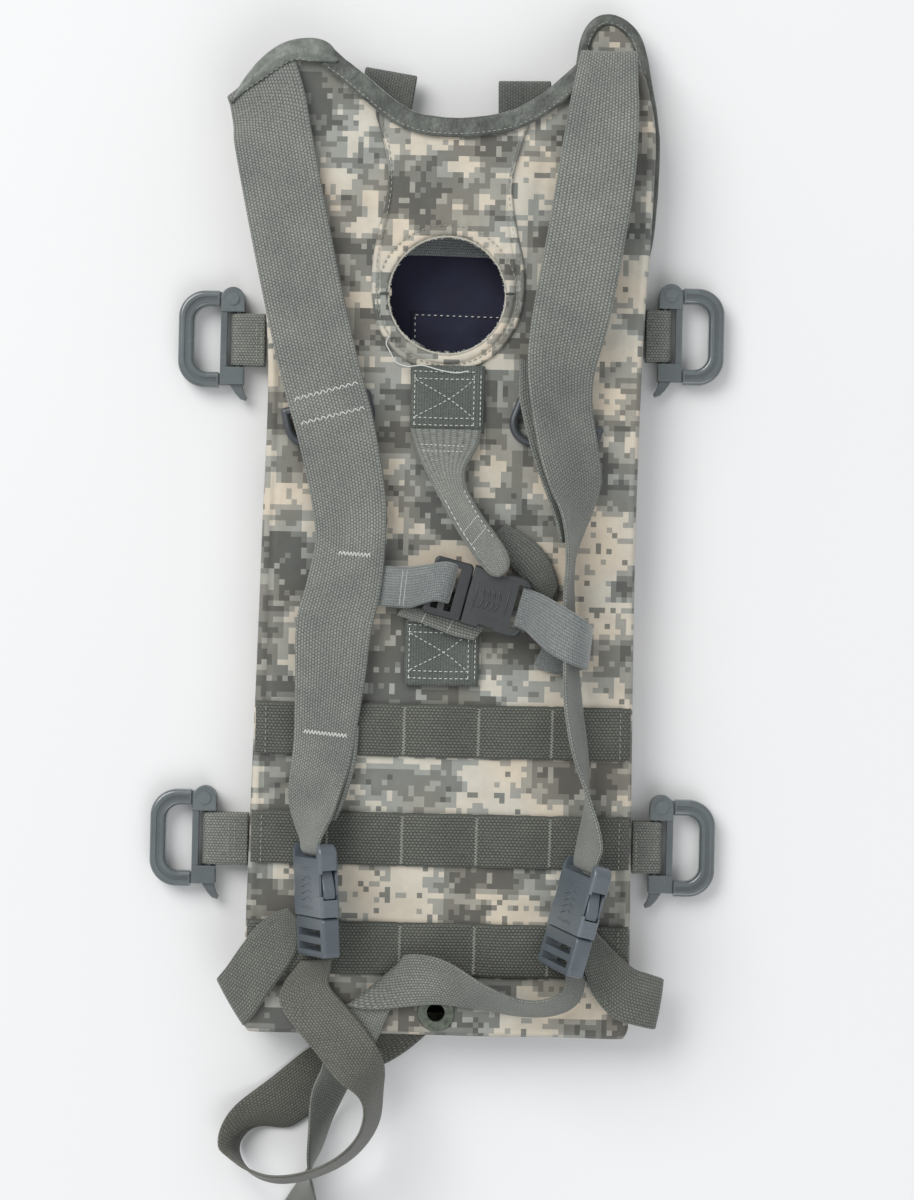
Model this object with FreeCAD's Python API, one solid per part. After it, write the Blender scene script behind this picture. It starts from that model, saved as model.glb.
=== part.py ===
import FreeCAD, Part

import math
import os

from FreeCAD import Placement, Rotation, Vector

# A flat hydration carrier, lying on its outer panel with the wearer's panel up.
# Millimetres. +X right, +Y towards the neck, +Z up; the origin lies on the resting face, on the centre line.

# ---------------------------------------------------------------- driving dimensions

# Pouch. The outline is drawn for a pouch 184 wide and 438 from base to neck and scaled to these sizes.
PACK_WIDTH = 184.0
PACK_LENGTH = 438.0
PACK_THICKNESS = 30.0
PANEL_WALL = 5.0
GUSSET_WALL = 3.0
GUSSET_INSET = 1.5
BASE_CORNER_RADIUS = 9.0
BASE_STRIP_Y = -200.0
DRAWN_WIDTH = 184.0
DRAWN_LENGTH = 438.0
DRAWN_THICKNESS = 30.0
BASE_SHARE = 0.54

# Cloth and webbing
CLOTH = 1.2
LINING = 0.8
WEB = 1.5
WEB_WIDTH = 25.4
DRAWN_WEB = 25.4
SHOULDER_WIDTH = 37.5
STERNUM_WIDTH = 20.0
LIFT = 0.3

# Filler port, its keyhole panel and the neck binding
PORT_RADIUS = 28.3
PORT_RING = 8.2
PORT_X = -2.0
PORT_Y = 116.5
BINDING_WIDTH = 9.5

# Attachment webbing rows: top edges and the sewn columns between them
ROW_HEIGHT = 25.8
ROW_PITCH = 52.0
FIRST_ROW_Y = -91.0
ROW_INSET = 1.0

# Drain grommet
GROMMET_BORE = 4.3
GROMMET_BARREL = 5.3
GROMMET_FLANGE = 8.9
GROMMET_INSET = 11.5
GROMMET_PLATE = 0.8
WASHER_RIM = 1.6

# Handle patches
PATCH_WIDTH = 35.5
PATCH_LENGTH = 32.0
PATCH_TOP_Y = 83.0
PATCH_BASE_Y = -37.0
HANDLE_X = -1.0
HANDLE_FOOT = 0.8

# Hanger loops behind the neck
HANGER_REACH = 14.5
HANGER_GAP = 2.0
HANGER_LEFT = (-35.5, 211.0, -9.0)
HANGER_RIGHT = (34.5, 206.0, 2.0)

# Strap rings
RING_WIRE = 2.0
RING_WIDTH = 40.0
RING_REACH = 17.0

# Locking hook: a base with a webbing bar, a hinged bow and a latch
BAR_RADIUS = 2.0
BAR_GAP = 3.6
SPINE = 3.0
HOOK_HALF_THICKNESS = 4.4
BLOCK_LENGTH = 8.4
BOW_REACH = 29.0
BOW_BAR = 7.6
BOW_CORNER = 13.0
EYE_RADIUS = 4.6
TONGUE_HALF = 2.0
SIDE_PLAY = 0.3
HOOK_PIN_RADIUS = 2.2
LATCH_PIN_RADIUS = 1.1
RUNNING_FIT = 0.06
PIN_HEAD = 0.7

# Each hook: side (+1 right, -1 left), distance of its bar from the pouch's side, and its centre's Y
HOOKS = {
    "upper_left": (-1, 14.5, 95.0),
    "upper_right": (1, 10.5, 101.0),
    "lower_left": (-1, 20.0, -146.0),
    "lower_right": (1, 12.5, -146.0),
}

# ---------------------------------------------------------------- values worked out from them

PACK_TOP = PACK_THICKNESS
ON_PACK = PACK_TOP + LIFT
SCALE_X = PACK_WIDTH / DRAWN_WIDTH
SCALE_Y = PACK_LENGTH / DRAWN_LENGTH
BASE_Y = -BASE_SHARE * PACK_LENGTH
DRAWN_BASE_Y = -BASE_SHARE * DRAWN_LENGTH
HOOK_Z = HOOK_HALF_THICKNESS + PIN_HEAD + LIFT
SPINE_X = BAR_RADIUS + BAR_GAP
BASE_OUTER_X = SPINE_X + SPINE
HOOK_HALF_OPENING = WEB_WIDTH / 2 + 0.6
BLOCK_END = HOOK_HALF_OPENING + BLOCK_LENGTH
PIVOT_X = 3.0
PIVOT_Y = HOOK_HALF_OPENING + 1.7 + EYE_RADIUS
LATCH_X = 0.2
LATCH_Y = -(HOOK_HALF_OPENING + 5.6)


class Buckle:
    """Sizes of a side-release buckle for one webbing width, in its own frame.

    +Y runs from the parting line to the socket's bar, X is its width and Z its thickness.
    """

    def __init__(self, web_width, thickness):
        self.web = web_width
        self.half_width = web_width / 2 + 4.4
        self.half_thickness = thickness / 2
        self.wall = 2.2
        self.skin = 1.5
        self.bar = 3.2
        self.slot = 3.4
        self.play = 0.35
        self.prong_length = 0.92 * web_width
        self.cavity = self.prong_length + 1.5
        self.socket_length = self.cavity + 2.5 + self.slot + self.bar
        self.base_length = 2 * self.bar + 2 * self.slot + 6.0
        self.catch = 0.36 * self.prong_length
        self.arm = 2.6
        self.prong_half_thickness = self.half_thickness - self.skin - self.play
        self.cavity_half = self.half_width - self.wall
        self.arm_inner = self.cavity_half - self.arm - 2.4
        self.pivot_x = self.arm_inner + self.arm / 2
        self.travel = self.prong_length + 1.0


SHOULDER_BUCKLE = Buckle(WEB_WIDTH, 9.6)
STERNUM_BUCKLE = Buckle(STERNUM_WIDTH, 8.0)


def stand(sizes, roll_deg):
    """How far the centre of a buckle rolled about its length lies above what it stands on."""
    roll = math.radians(roll_deg)
    return sizes.half_width * abs(math.sin(roll)) + sizes.half_thickness * abs(math.cos(roll))


# Each buckle: sizes, place of its parting line, roll about its length, and heading of its socket end
BUCKLE_ROLL = -65.0
BUCKLES = {
    "left": (SHOULDER_BUCKLE, (-56.6 * SCALE_X, -178.0 * SCALE_Y), BUCKLE_ROLL, 3.5),
    "right": (SHOULDER_BUCKLE, (62.5 * SCALE_X, -183.0 * SCALE_Y), BUCKLE_ROLL, -14.5),
    "sternum": (STERNUM_BUCKLE, (11.0 * SCALE_X, -25.5 * SCALE_Y), 0.0, -104.0),
}
STERNUM_RISE = 6.2
BUCKLE_FLOOR = {
    "left": ON_PACK + WEB + LIFT,
    "right": ON_PACK + WEB + LIFT,
    "sternum": ON_PACK + STERNUM_RISE,
}


def buckle_place(name):
    """Placement of a buckle: rolled about its length, then turned to its heading."""
    sizes, (x, y), roll, heading = BUCKLES[name]
    z = BUCKLE_FLOOR[name] + stand(sizes, roll)
    turn = Rotation(Vector(0, 0, 1), heading) * Rotation(Vector(0, 1, 0), roll)
    return Placement(Vector(x, y, z), turn)


# ---------------------------------------------------------------- webbing routes

# A station of a strap: centre x, y and height, heading of its width across the strap (degrees from +X),
# roll of its width above the horizontal, and width.


def over_pack(stations):
    """Stations whose undersides are z above the pouch and whose places scale with the pouch."""
    lift = ON_PACK + WEB / 2
    return [(x * SCALE_X, y * SCALE_Y, lift + z, a, roll, w) for x, y, z, a, roll, w in stations]


def off_buckle(name, stations):
    """Stations given from a buckle's parting line: a strap stays with its buckle at any pouch size."""
    x0, y0 = BUCKLES[name][1]
    lift = ON_PACK + WEB / 2
    return [(x0 + x, y0 + y, lift + z, a, roll, w) for x, y, z, a, roll, w in stations]


def draped(stations):
    """Stations of a free tail: they scale with the pouch while over it and move with its base beyond it.

    A tail that stands on its edge is raised by half of what its webbing gains in width.
    """
    placed_stations = []
    for x, y, z, a, roll, w in stations:
        new_y = y * SCALE_Y if y > DRAWN_BASE_Y else y + BASE_Y - DRAWN_BASE_Y
        gain = (PACK_THICKNESS - DRAWN_THICKNESS) * min(1.0, z / DRAWN_THICKNESS)
        gain += (WEB_WIDTH - DRAWN_WEB) / 2 * abs(math.sin(math.radians(roll)))
        placed_stations.append((x * SCALE_X, new_y, z + gain, a, roll, w))
    return placed_stations


S = SHOULDER_WIDTH
W = WEB_WIDTH
SHOULDER_LEFT = over_pack([
    (-91.0, 213.0, 0.2, 36, 0, S + 1.0),
    (-86.0, 188.0, 4.5, 16, 0, S),
    (-78.0, 150.0, 8.0, 12, 0, S),
    (-69.5, 112.0, 9.0, 12, 0, S),
    (-61.0, 78.0, 9.0, 16, 0, S),
    (-53.0, 50.0, 8.5, 14, 2, S),
    (-46.5, 18.0, 7.5, 5, 3, S),
    (-46.0, -6.0, 7.5, -6, 0, S),
    (-50.0, -36.0, 8.0, -6, -4, S),
    (-53.0, -70.0, 7.0, -3, -8, S),
    (-56.0, -100.0, 6.5, -6, -8, 32.0),
    (-60.0, -122.0, 9.5, -6, 10, 27.0),
    (-60.8, -136.5, 15.5, 4, 48, W - 1.0),
])
SHOULDER_RIGHT = over_pack([
    (72.5, 230.0, 1.6, 0, 0, 27.0),
    (70.5, 205.0, 5.0, -3, 0, 33.0),
    (68.0, 178.0, 9.0, -8, 0, S),
    (63.5, 146.0, 12.0, -12, 0, S),
    (57.0, 112.0, 15.5, -16, -8, S),
    (52.5, 82.0, 17.5, -8, -36, S),
    (54.5, 54.0, 18.0, 0, -40, S),
    (58.5, 32.0, 17.5, 4, -44, S - 2.0),
    (60.0, 12.0, 14.5, 8, -62, 30.0),
    (58.8, -8.0, 11.4, 4, -80, 23.0),
    (58.6, -30.0, 11.6, 0, -84, 20.0),
    (60.0, -52.0, 12.4, -4, -80, 20.0),
    (61.5, -76.0, 13.4, -8, -68, 23.0),
    (64.8, -100.0, 13.6, -6, -78, 24.0),
    (69.5, -122.0, 14.0, -8, -92, W - 1.0),
    (71.7, -140.5, 14.5, -15, -122, W - 1.0),
])
STERNUM_LEFT = over_pack([
    (-62.0, -13.0, 0.2, 84, 0, STERNUM_WIDTH),
    (-44.0, -18.0, 0.8, 84, 0, STERNUM_WIDTH),
    (-28.0, -22.5, 4.5, 86, 0, STERNUM_WIDTH),
    (-16.0, -23.0, 7.0, 84, 0, STERNUM_WIDTH),
    (-9.4, -21.0, 8.6, 77, 0, STERNUM_WIDTH),
])
STERNUM_RIGHT = over_pack([
    (40.6, -33.0, 10.6, 76, 0, STERNUM_WIDTH - 0.6),
    (46.0, -37.0, 17.0, 68, 6, STERNUM_WIDTH + 2.0),
    (54.0, -42.0, 24.5, 62, 8, STERNUM_WIDTH + 3.0),
    (63.0, -46.5, 24.5, 72, 0, STERNUM_WIDTH + 2.0),
    (67.8, -49.5, 15.0, 82, 0, STERNUM_WIDTH),
    (68.6, -51.0, 6.5, 84, 0, STERNUM_WIDTH - 2.0),
])
STERNUM_RETURN = over_pack([
    (67.2, -51.0, 0.3, 84, 0, STERNUM_WIDTH - 2.0),
    (57.0, -54.0, 0.2, 74, 0, STERNUM_WIDTH - 2.0),
    (45.5, -52.5, 0.2, 66, 0, 13.0),
])
STERNUM_LOOP = over_pack([
    (24.0, 4.5, 0.3, 40, 0, 12.0),
    (37.0, -6.5, 0.8, 48, 0, 17.0),
    (46.5, -17.0, 1.2, 54, 0, 15.0),
    (52.5, -25.5, 0.4, 66, 0, 9.0),
])
STERNUM_TAIL = over_pack([
    (-21.0, -34.0, 3.4, 60, 0, 5.0),
    (-7.0, -37.0, 4.4, 66, 0, 7.0),
    (6.0, -41.0, 4.6, 62, 0, 9.0),
    (15.5, -44.0, 4.2, 50, 0, 8.0),
])
HANDLE_UPPER = over_pack([
    (-1.2, PATCH_TOP_Y - PATCH_LENGTH - HANDLE_FOOT, 0.4, 0, 0, 33.0),
    (-1.0, 42.0, 3.5, -2, 0, 27.0),
    (0.0, 31.5, 8.0, 10, 0, 19.0),
    (3.5, 21.5, 11.5, 28, 0, 13.5),
    (10.5, 9.0, 13.5, 36, 0, 14.0),
    (19.0, -2.5, 15.2, 38, 0, 14.5),
    (24.5, -10.5, 16.6, 38, 0, 13.0),
    (26.8, -14.4, 16.8, 38, 0, 7.5),
])
HANDLE_LOWER = over_pack([
    (21.5, -12.0, 0.3, 40, 0, 13.0),
    (10.0, -22.0, 0.3, 26, 0, 22.0),
    (0.5, -32.0, 0.3, 8, 0, 30.0),
    (-1.0, -36.6, 0.3, 0, 0, 33.0),
])
ANCHOR_LEFT_UPPER = off_buckle("left", [
    (-12.9, -5.5, 3.2, -44, 0, 16.0),
    (-20.4, -15.0, 2.6, -47, 0, 23.0),
]) + over_pack([
    (-88.0, -207.0, 2.2, -55, 0, W),
    (-95.5, -216.5, 1.0, -58, 0, W + 0.6),
    (-100.3, -223.2, -1.4, -59, 0, W + 1.0),
])
ANCHOR_LEFT_LOWER = [
    (-99.8 * SCALE_X, -222.8 * SCALE_Y, 22.0, -59, 0, W),
    (-94.2 * SCALE_X, -220.5 * SCALE_Y, 12.5, -80, 0, W - 2.0),
]
ANCHOR_RIGHT_UPPER = off_buckle("right", [
    (11.0, -11.0, 3.2, 62, 0, 17.0),
]) + over_pack([
    (80.5, -205.0, 2.6, 58, 0, 22.0),
    (89.0, -213.5, 2.0, 68, 0, W),
    (97.0, -217.0, 0.4, 78, 0, W),
    (102.8, -219.5, -4.4, 83, 0, W - 1.0),
])
ANCHOR_RIGHT_LOWER = [
    (102.2 * SCALE_X, -219.5 * SCALE_Y, 20.0, 83, 0, W - 1.0),
    (94.2 * SCALE_X, -219.0 * SCALE_Y, 10.5, 88, 0, W - 2.0),
]

# The free tails lie on the pouch and on the surface it rests on.
TAIL_LEFT = draped([
    (-57.0, -200.5, 36.0, 8, 20, 16.0),
    (-62.0, -210.0, 33.8, 12, 4, 22.0),
    (-62.0, -218.0, 35.2, 20, 0, W),
    (-54.0, -228.0, 37.2, 34, 0, W),
    (-44.5, -239.0, 37.6, 38, -3, W),
    (-36.0, -250.5, 37.4, 28, -22, W),
    (-29.5, -264.0, 33.0, 12, -66, W),
    (-30.5, -280.0, 33.0, -10, -73, W),
    (-41.0, -293.5, 36.5, -46, -74, W),
    (-57.5, -302.0, 38.2, -74, -74, W),
    (-75.0, -306.0, 31.0, -88, -74, W),
    (-88.5, -303.5, 19.5, -116, -80, W),
    (-95.5, -296.0, 13.6, -145, -98, W),
    (-95.0, -289.0, 10.5, -160, -132, W),
    (-87.5, -282.0, 5.0, -200, -160, W),
    (-75.0, -274.5, 1.9, -227, -178, W),
    (-59.0, -261.5, 1.0, -230, -180, W),
    (-42.0, -249.0, 1.0, -232, -180, W),
    (-21.5, -238.4, 1.0, -180, -180, 36.0),
])
TAIL_RIGHT_UPPER = draped([
    (65.5, -204.5, 39.0, -14, -52, 16.0),
    (66.5, -213.0, 40.0, -36, -58, 20.0),
    (58.0, -219.5, 43.0, -66, -64, W),
    (42.0, -221.5, 43.4, -84, -66, W),
    (22.0, -216.0, 41.6, -92, -56, W),
    (3.0, -209.2, 39.4, -96, -30, W),
    (-10.0, -208.8, 36.4, -92, -8, W),
    (-20.0, -210.5, 35.2, -108, 0, 27.0),
    (-29.0, -211.5, 35.0, -139, 0, 34.0),
])
TAIL_RIGHT_LOWER = draped([
    (-29.0, -212.0, 32.9, -140, 0, 33.0),
    (-33.5, -222.5, 32.3, -175, 0, W),
    (-38.0, -235.0, 32.0, -170, 0, W),
    (-40.3, -243.2, 31.6, -164, 3, W),
    (-43.5, -250.0, 22.0, -158, 12, 23.5),
    (-49.0, -262.0, 14.5, -162, 34, W - 1.0),
    (-54.0, -280.0, 11.8, -168, 62, W - 1.0),
    (-57.5, -299.0, 12.0, -170, 80, W - 1.0),
    (-61.0, -312.0, 11.6, -172, 110, W - 1.0),
    (-64.0, -325.0, 8.0, -174, 142, W - 1.0),
    (-67.0, -338.0, 3.0, -176, 168, W - 1.0),
    (-69.0, -350.0, 1.0, -178, 180, W - 1.0),
])


# ---------------------------------------------------------------- shared shapes


def box(x0, x1, y0, y1, z0, z1):
    return Part.makeBox(x1 - x0, y1 - y0, z1 - z0, Vector(x0, y0, z0))


def cylinder(x, y, z0, z1, radius):
    return Part.makeCylinder(radius, z1 - z0, Vector(x, y, z0))


def line(a, b):
    return Part.LineSegment(Vector(*a, 0), Vector(*b, 0)).toShape()


def arc(a, b, c):
    """An arc in the XY plane through three points."""
    return Part.Arc(Vector(*a, 0), Vector(*b, 0), Vector(*c, 0)).toShape()


def curve(points):
    """A smooth edge through a few points in the XY plane."""
    spline = Part.BSplineCurve()
    spline.interpolate([Vector(x, y, 0) for x, y in points])
    return spline.toShape()


def plate(edges, z0, z1):
    """A flat plate from the edges of its outline."""
    face = Part.Face(Part.Wire(Part.__sortEdges__(edges)))
    face.translate(Vector(0, 0, z0))
    return face.extrude(Vector(0, 0, z1 - z0))


def polygon(points, z0, z1):
    corners = [Vector(x, y, z0) for x, y in points]
    face = Part.Face(Part.makePolygon(corners + [corners[0]]))
    return face.extrude(Vector(0, 0, z1 - z0))


def round_edges(shape, radius, keep):
    """Rounds the edges that keep(edge) picks; a radius the wall can't take is halved."""
    edges = [e for e in shape.Edges if keep(e)]
    for r in (radius, radius / 2, radius / 4):
        try:
            rounded = shape.makeFillet(r, edges)
            if rounded.isValid() and rounded.Volume > 0:
                return rounded
        except Part.OCCError:
            continue
    return shape


def along(edge, axis):
    """True for a straight edge that runs along an axis."""
    if not isinstance(edge.Curve, Part.Line):
        return False
    d = edge.Curve.Direction
    return abs(abs(d.dot(axis)) - 1) < 1e-6


def ribbon(stations, thickness=WEB):
    """A strap through its stations, ruled from one to the next."""
    centres = [Vector(x, y, z) for x, y, z, _, _, _ in stations]
    outlines = []
    for i, (x, y, z, heading, roll, width) in enumerate(stations):
        h, r = math.radians(heading), math.radians(roll)
        across = Vector(math.cos(r) * math.cos(h), math.cos(r) * math.sin(h), math.sin(r))
        ahead = centres[min(i + 1, len(centres) - 1)] - centres[max(i - 1, 0)]
        normal = across.cross(ahead)
        normal.normalize()
        side, up = across * (width / 2), normal * (thickness / 2)
        c = centres[i]
        corners = [c - side - up, c + side - up, c + side + up, c - side + up]
        outlines.append(corners + [corners[0]])
    solid = Part.makeLoft([Part.makePolygon(points) for points in outlines], True, True)
    if solid.Volume < 0:  # the outlines turn the wrong way round for this direction of travel
        solid = Part.makeLoft([Part.makePolygon(points[::-1]) for points in outlines], True, True)
    return solid


# ---------------------------------------------------------------- pouch

HALF = PACK_WIDTH / 2
GROMMET_Y = BASE_Y + GROMMET_INSET


def drawn(points):
    """Outline points, drawn for the nominal pouch, at this pouch's size."""
    return [(x * SCALE_X, y * SCALE_Y) for x, y in points]


NECK = drawn([
    (-57.0, 231.0), (-40.0, 217.5), (-18.0, 204.0), (2.0, 201.0), (24.0, 203.8), (45.0, 215.5), (60.0, 230.0),
])
LEFT_SIDE = drawn([
    (-DRAWN_WIDTH / 2, BASE_STRIP_Y), (-90.0, -100.0), (-88.0, 0.0), (-86.5, 80.0), (-92.0, 140.0),
    (-106.0, 204.0),
])
RIGHT_SIDE = drawn([
    (DRAWN_WIDTH / 2, BASE_STRIP_Y), (91.0, -100.0), (90.5, 0.0), (92.0, 90.0), (95.5, 150.0), (96.5, 195.0),
    (91.0, 222.0),
])
LEFT_WING = drawn([(-106.0, 204.0), (-98.0, 220.0), (-82.0, 233.5), (-67.0, 235.5), (-57.0, 231.0)])
RIGHT_WING = drawn([(60.0, 230.0), (72.0, 233.0), (84.0, 230.5), (91.0, 222.0)])


def side_x(side, y):
    """Where the pouch's side lies at a height, between its drawn points."""
    points = RIGHT_SIDE if side > 0 else LEFT_SIDE
    for (xa, ya), (xb, yb) in zip(points, points[1:]):
        if ya <= y <= yb:
            return xa + (xb - xa) * (y - ya) / (yb - ya)
    return points[0][0]


def base_edges(inset=0.0):
    """The pouch's lower end: two straight sides, two round corners and the base."""
    x, y, r = HALF - inset, BASE_Y + inset, BASE_CORNER_RADIUS
    top = BASE_STRIP_Y * SCALE_Y
    q = r * (1 - math.sqrt(0.5))
    left = arc((-x, y + r), (-x + q, y + q), (-x + r, y))
    right = arc((x, y + r), (x - q, y + q), (x - r, y))
    base = line((-x + r, y), (x - r, y))
    return [line((-x, top), (-x, y + r)), left, base, right, line((x, y + r), (x, top))]


def shift(points, dx):
    return [(x + dx, y) for x, y in points]


def panel(z0, z1):
    sides = [curve(points) for points in (LEFT_SIDE, LEFT_WING, NECK, RIGHT_WING, RIGHT_SIDE)]
    return plate(base_edges() + sides, z0, z1)


def soften(shape, z, radius):
    """Rounds the outline edges that lie at one height."""
    return round_edges(shape, radius, lambda e: all(abs(v.Z - z) < 1e-6 for v in e.Vertexes))


def port_hole(z0, z1):
    return cylinder(PORT_X, PORT_Y * SCALE_Y, z0, z1, PORT_RADIUS)


def back_panel():
    body = soften(panel(PACK_TOP - PANEL_WALL, PACK_TOP), PACK_TOP, 3.0)
    drain = cylinder(0, GROMMET_Y, 0, PACK_TOP + 1, GROMMET_BARREL)
    return body.cut(port_hole(0, PACK_TOP + 1)).cut(drain)


def front_panel():
    return soften(panel(0, PANEL_WALL), 0, 3.0)


def side_gusset():
    """Three strips sewn end to end between the panels; the neck between the wings stays open."""
    z0, z1 = PANEL_WALL, PACK_TOP - PANEL_WALL
    strips = []
    for side, points in ((-1, LEFT_SIDE), (1, RIGHT_SIDE)):
        outer = shift(points, -side * GUSSET_INSET)
        inner = shift(outer, -side * GUSSET_WALL)
        ends = [line(outer[0], inner[0]), line(outer[-1], inner[-1])]
        strips.append(plate([curve(outer), curve(inner)] + ends, z0, z1))
    reach, top = HALF - GUSSET_INSET, BASE_STRIP_Y * SCALE_Y
    outer_loop = plate(base_edges(GUSSET_INSET) + [line((-reach, top), (reach, top))], z0, z1)
    inner_reach = reach - GUSSET_WALL
    inner = box(-inner_reach, inner_reach, BASE_Y + GUSSET_INSET + GUSSET_WALL, 0, z0 - 1, z1 + 1)
    strips.append(outer_loop.cut(inner))
    return Part.makeCompound(strips)


def neck_band(drop, z0, z1):
    """A band that follows the neck, drop below its edge."""
    low = [(x, y - drop) for x, y in NECK]
    return plate([curve(NECK), curve(low), line(NECK[0], low[0]), line(NECK[-1], low[-1])], z0, z1)


def neck_binding():
    return neck_band(BINDING_WIDTH, PACK_TOP, PACK_TOP + CLOTH)


def port_panel():
    """The keyhole-shaped overlay: a ring round the port and a tongue up to the neck binding."""
    z0, z1, y0 = PACK_TOP, PACK_TOP + CLOTH, PORT_Y * SCALE_Y
    ring = cylinder(PORT_X, y0, z0, z1, PORT_RADIUS + PORT_RING)
    join = (PORT_RADIUS + PORT_RING) * math.sqrt(0.5)
    left = [(PORT_X - join, y0 + join), (-31.5 * SCALE_X, 165.0 * SCALE_Y),
            (-38.0 * SCALE_X, 206.0 * SCALE_Y)]
    right = [(PORT_X + join, y0 + join), (28.5 * SCALE_X, 165.0 * SCALE_Y), (37.0 * SCALE_X, 206.0 * SCALE_Y)]
    tongue = plate([curve(left), curve(right), line(left[0], right[0]), line(left[-1], right[-1])], z0, z1)
    above_neck = neck_band(BINDING_WIDTH + LIFT, z0 - 1, z1 + 1)
    return ring.fuse(tongue).removeSplitter().cut(above_neck).cut(port_hole(z0 - 1, z1 + 1))


def tube_flap_left():
    """Crescent of cloth over the left shoulder seam, where the drinking tube can leave."""
    inner = drawn([(-106.0, 204.0), (-94.0, 213.5), (-79.0, 226.0), (-66.0, 224.0), (-57.0, 231.0)])
    z0 = ON_PACK + WEB + LIFT
    return plate([curve(LEFT_WING), curve(inner)], z0, z0 + CLOTH)


FLAP_OUTER = drawn([(60.5, 225.0), (61.0, 240.0), (73.5, 254.5), (88.0, 243.0), (92.0, 224.0)])
FLAP_INNER = drawn([(65.0, 225.0), (65.5, 238.0), (73.5, 247.5), (83.0, 240.5), (86.0, 224.0)])
FLAP_Z = PANEL_WALL + 6.0


def tube_flap_right():
    """The outer panel's loop above the right shoulder, inside its binding."""
    return plate([curve(FLAP_INNER), line(FLAP_INNER[-1], FLAP_INNER[0])], FLAP_Z, FLAP_Z + CLOTH)


def tube_flap_binding():
    ends = [line(FLAP_INNER[0], FLAP_OUTER[0]), line(FLAP_INNER[-1], FLAP_OUTER[-1])]
    return plate([curve(FLAP_OUTER), curve(FLAP_INNER)] + ends, FLAP_Z - 0.6, FLAP_Z + CLOTH + 0.6)


def hanger_loops():
    """Two webbing loops that stand above the neck, for hanging the pouch in a rucksack."""
    z0, gap = PANEL_WALL + 0.1, HANGER_GAP
    reach, depth = HANGER_REACH, gap / 2 + WEB
    loops = []
    for x, y, heading in (HANGER_LEFT, HANGER_RIGHT):
        outer = box(-W / 2, W / 2, -reach, reach - depth, z0, z0 + 2 * depth)
        nose = Part.makeCylinder(depth, W, Vector(-W / 2, reach - depth, z0 + depth), Vector(1, 0, 0))
        hollow = box(-W / 2 - 1, W / 2 + 1, -reach - 1, reach - depth, z0 + WEB, z0 + WEB + gap)
        start = Vector(-W / 2 - 1, reach - depth, z0 + depth)
        bore = Part.makeCylinder(gap / 2, W + 2, start, Vector(1, 0, 0))
        loop = outer.fuse(nose).removeSplitter().cut(hollow.fuse(bore))
        loop.Placement = Placement(Vector(x * SCALE_X, y * SCALE_Y, 0), Rotation(Vector(0, 0, 1), heading))
        loops.append(loop)
    return Part.makeCompound(loops)


def inner_lining():
    """Dark lining on the outer panel's inner face."""
    margin = GUSSET_INSET + GUSSET_WALL + 1.5
    half = min(abs(x) for x, y in LEFT_SIDE + RIGHT_SIDE) - margin
    top = HANGER_RIGHT[1] * SCALE_Y - HANGER_REACH - 1.5
    return box(-half, half, BASE_Y + margin, top, PANEL_WALL, PANEL_WALL + LINING)


def inner_pocket():
    """A patch pocket sewn on the lining, under the port."""
    z0 = PANEL_WALL + LINING
    return box(-19 * SCALE_X, 62 * SCALE_X, 40 * SCALE_Y, 110 * SCALE_Y, z0, z0 + 1.0)


def reservoir_band():
    """The band that holds the top of the reservoir."""
    y, z0 = 137.0 * SCALE_Y, PANEL_WALL + LINING
    return box(-40 * SCALE_X, 40 * SCALE_X, y, y + W, z0, z0 + WEB)


def row_y(i):
    return (FIRST_ROW_Y - i * ROW_PITCH) * SCALE_Y


def attachment_row(i):
    y = row_y(i)
    x0, x1 = side_x(-1, y) + ROW_INSET, side_x(1, y) - ROW_INSET
    return box(x0, x1, y - ROW_HEIGHT / 2, y + ROW_HEIGHT / 2, PACK_TOP, PACK_TOP + WEB)


def drain_grommet():
    """Eyelet: a flange with a barrel through the back panel."""
    y, top = GROMMET_Y, PACK_TOP + GROMMET_PLATE
    flange = cylinder(0, y, PACK_TOP, top, GROMMET_FLANGE)
    flange = round_edges(flange, GROMMET_PLATE * 0.8, lambda e: e.BoundBox.ZMin > top - 0.01)
    barrel = cylinder(0, y, PACK_TOP - PANEL_WALL - GROMMET_PLATE, top, GROMMET_BARREL)
    return flange.fuse(barrel).removeSplitter().cut(cylinder(0, y, 0, top + 1, GROMMET_BORE))


def grommet_washer():
    y, top = GROMMET_Y, PACK_TOP - PANEL_WALL
    ring = cylinder(0, y, top - GROMMET_PLATE, top, GROMMET_BARREL + WASHER_RIM)
    return ring.cut(cylinder(0, y, 0, top + 1, GROMMET_BARREL + 0.05))


def handle_patches():
    """The two box-stitched ends of the carry handle."""
    x0, x1 = HANDLE_X - PATCH_WIDTH / 2, HANDLE_X + PATCH_WIDTH / 2
    z0 = PACK_TOP + CLOTH + 0.1
    return Part.makeCompound([
        box(x0, x1, (y - PATCH_LENGTH) * SCALE_Y, y * SCALE_Y, z0, z0 + WEB)
        for y in (PATCH_TOP_Y, PATCH_BASE_Y)
    ])


# ---------------------------------------------------------------- locking hooks


def hook_place(name):
    """Frame of a hook: its bar along Y, +X away from the pouch; a left hook is turned over about its bar."""
    side, gap, y = HOOKS[name]
    at = Vector(side_x(side, y * SCALE_Y) + side * gap, y * SCALE_Y, HOOK_Z)
    return Placement(at, Rotation(Vector(0, 1, 0), 0 if side > 0 else 180))


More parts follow.
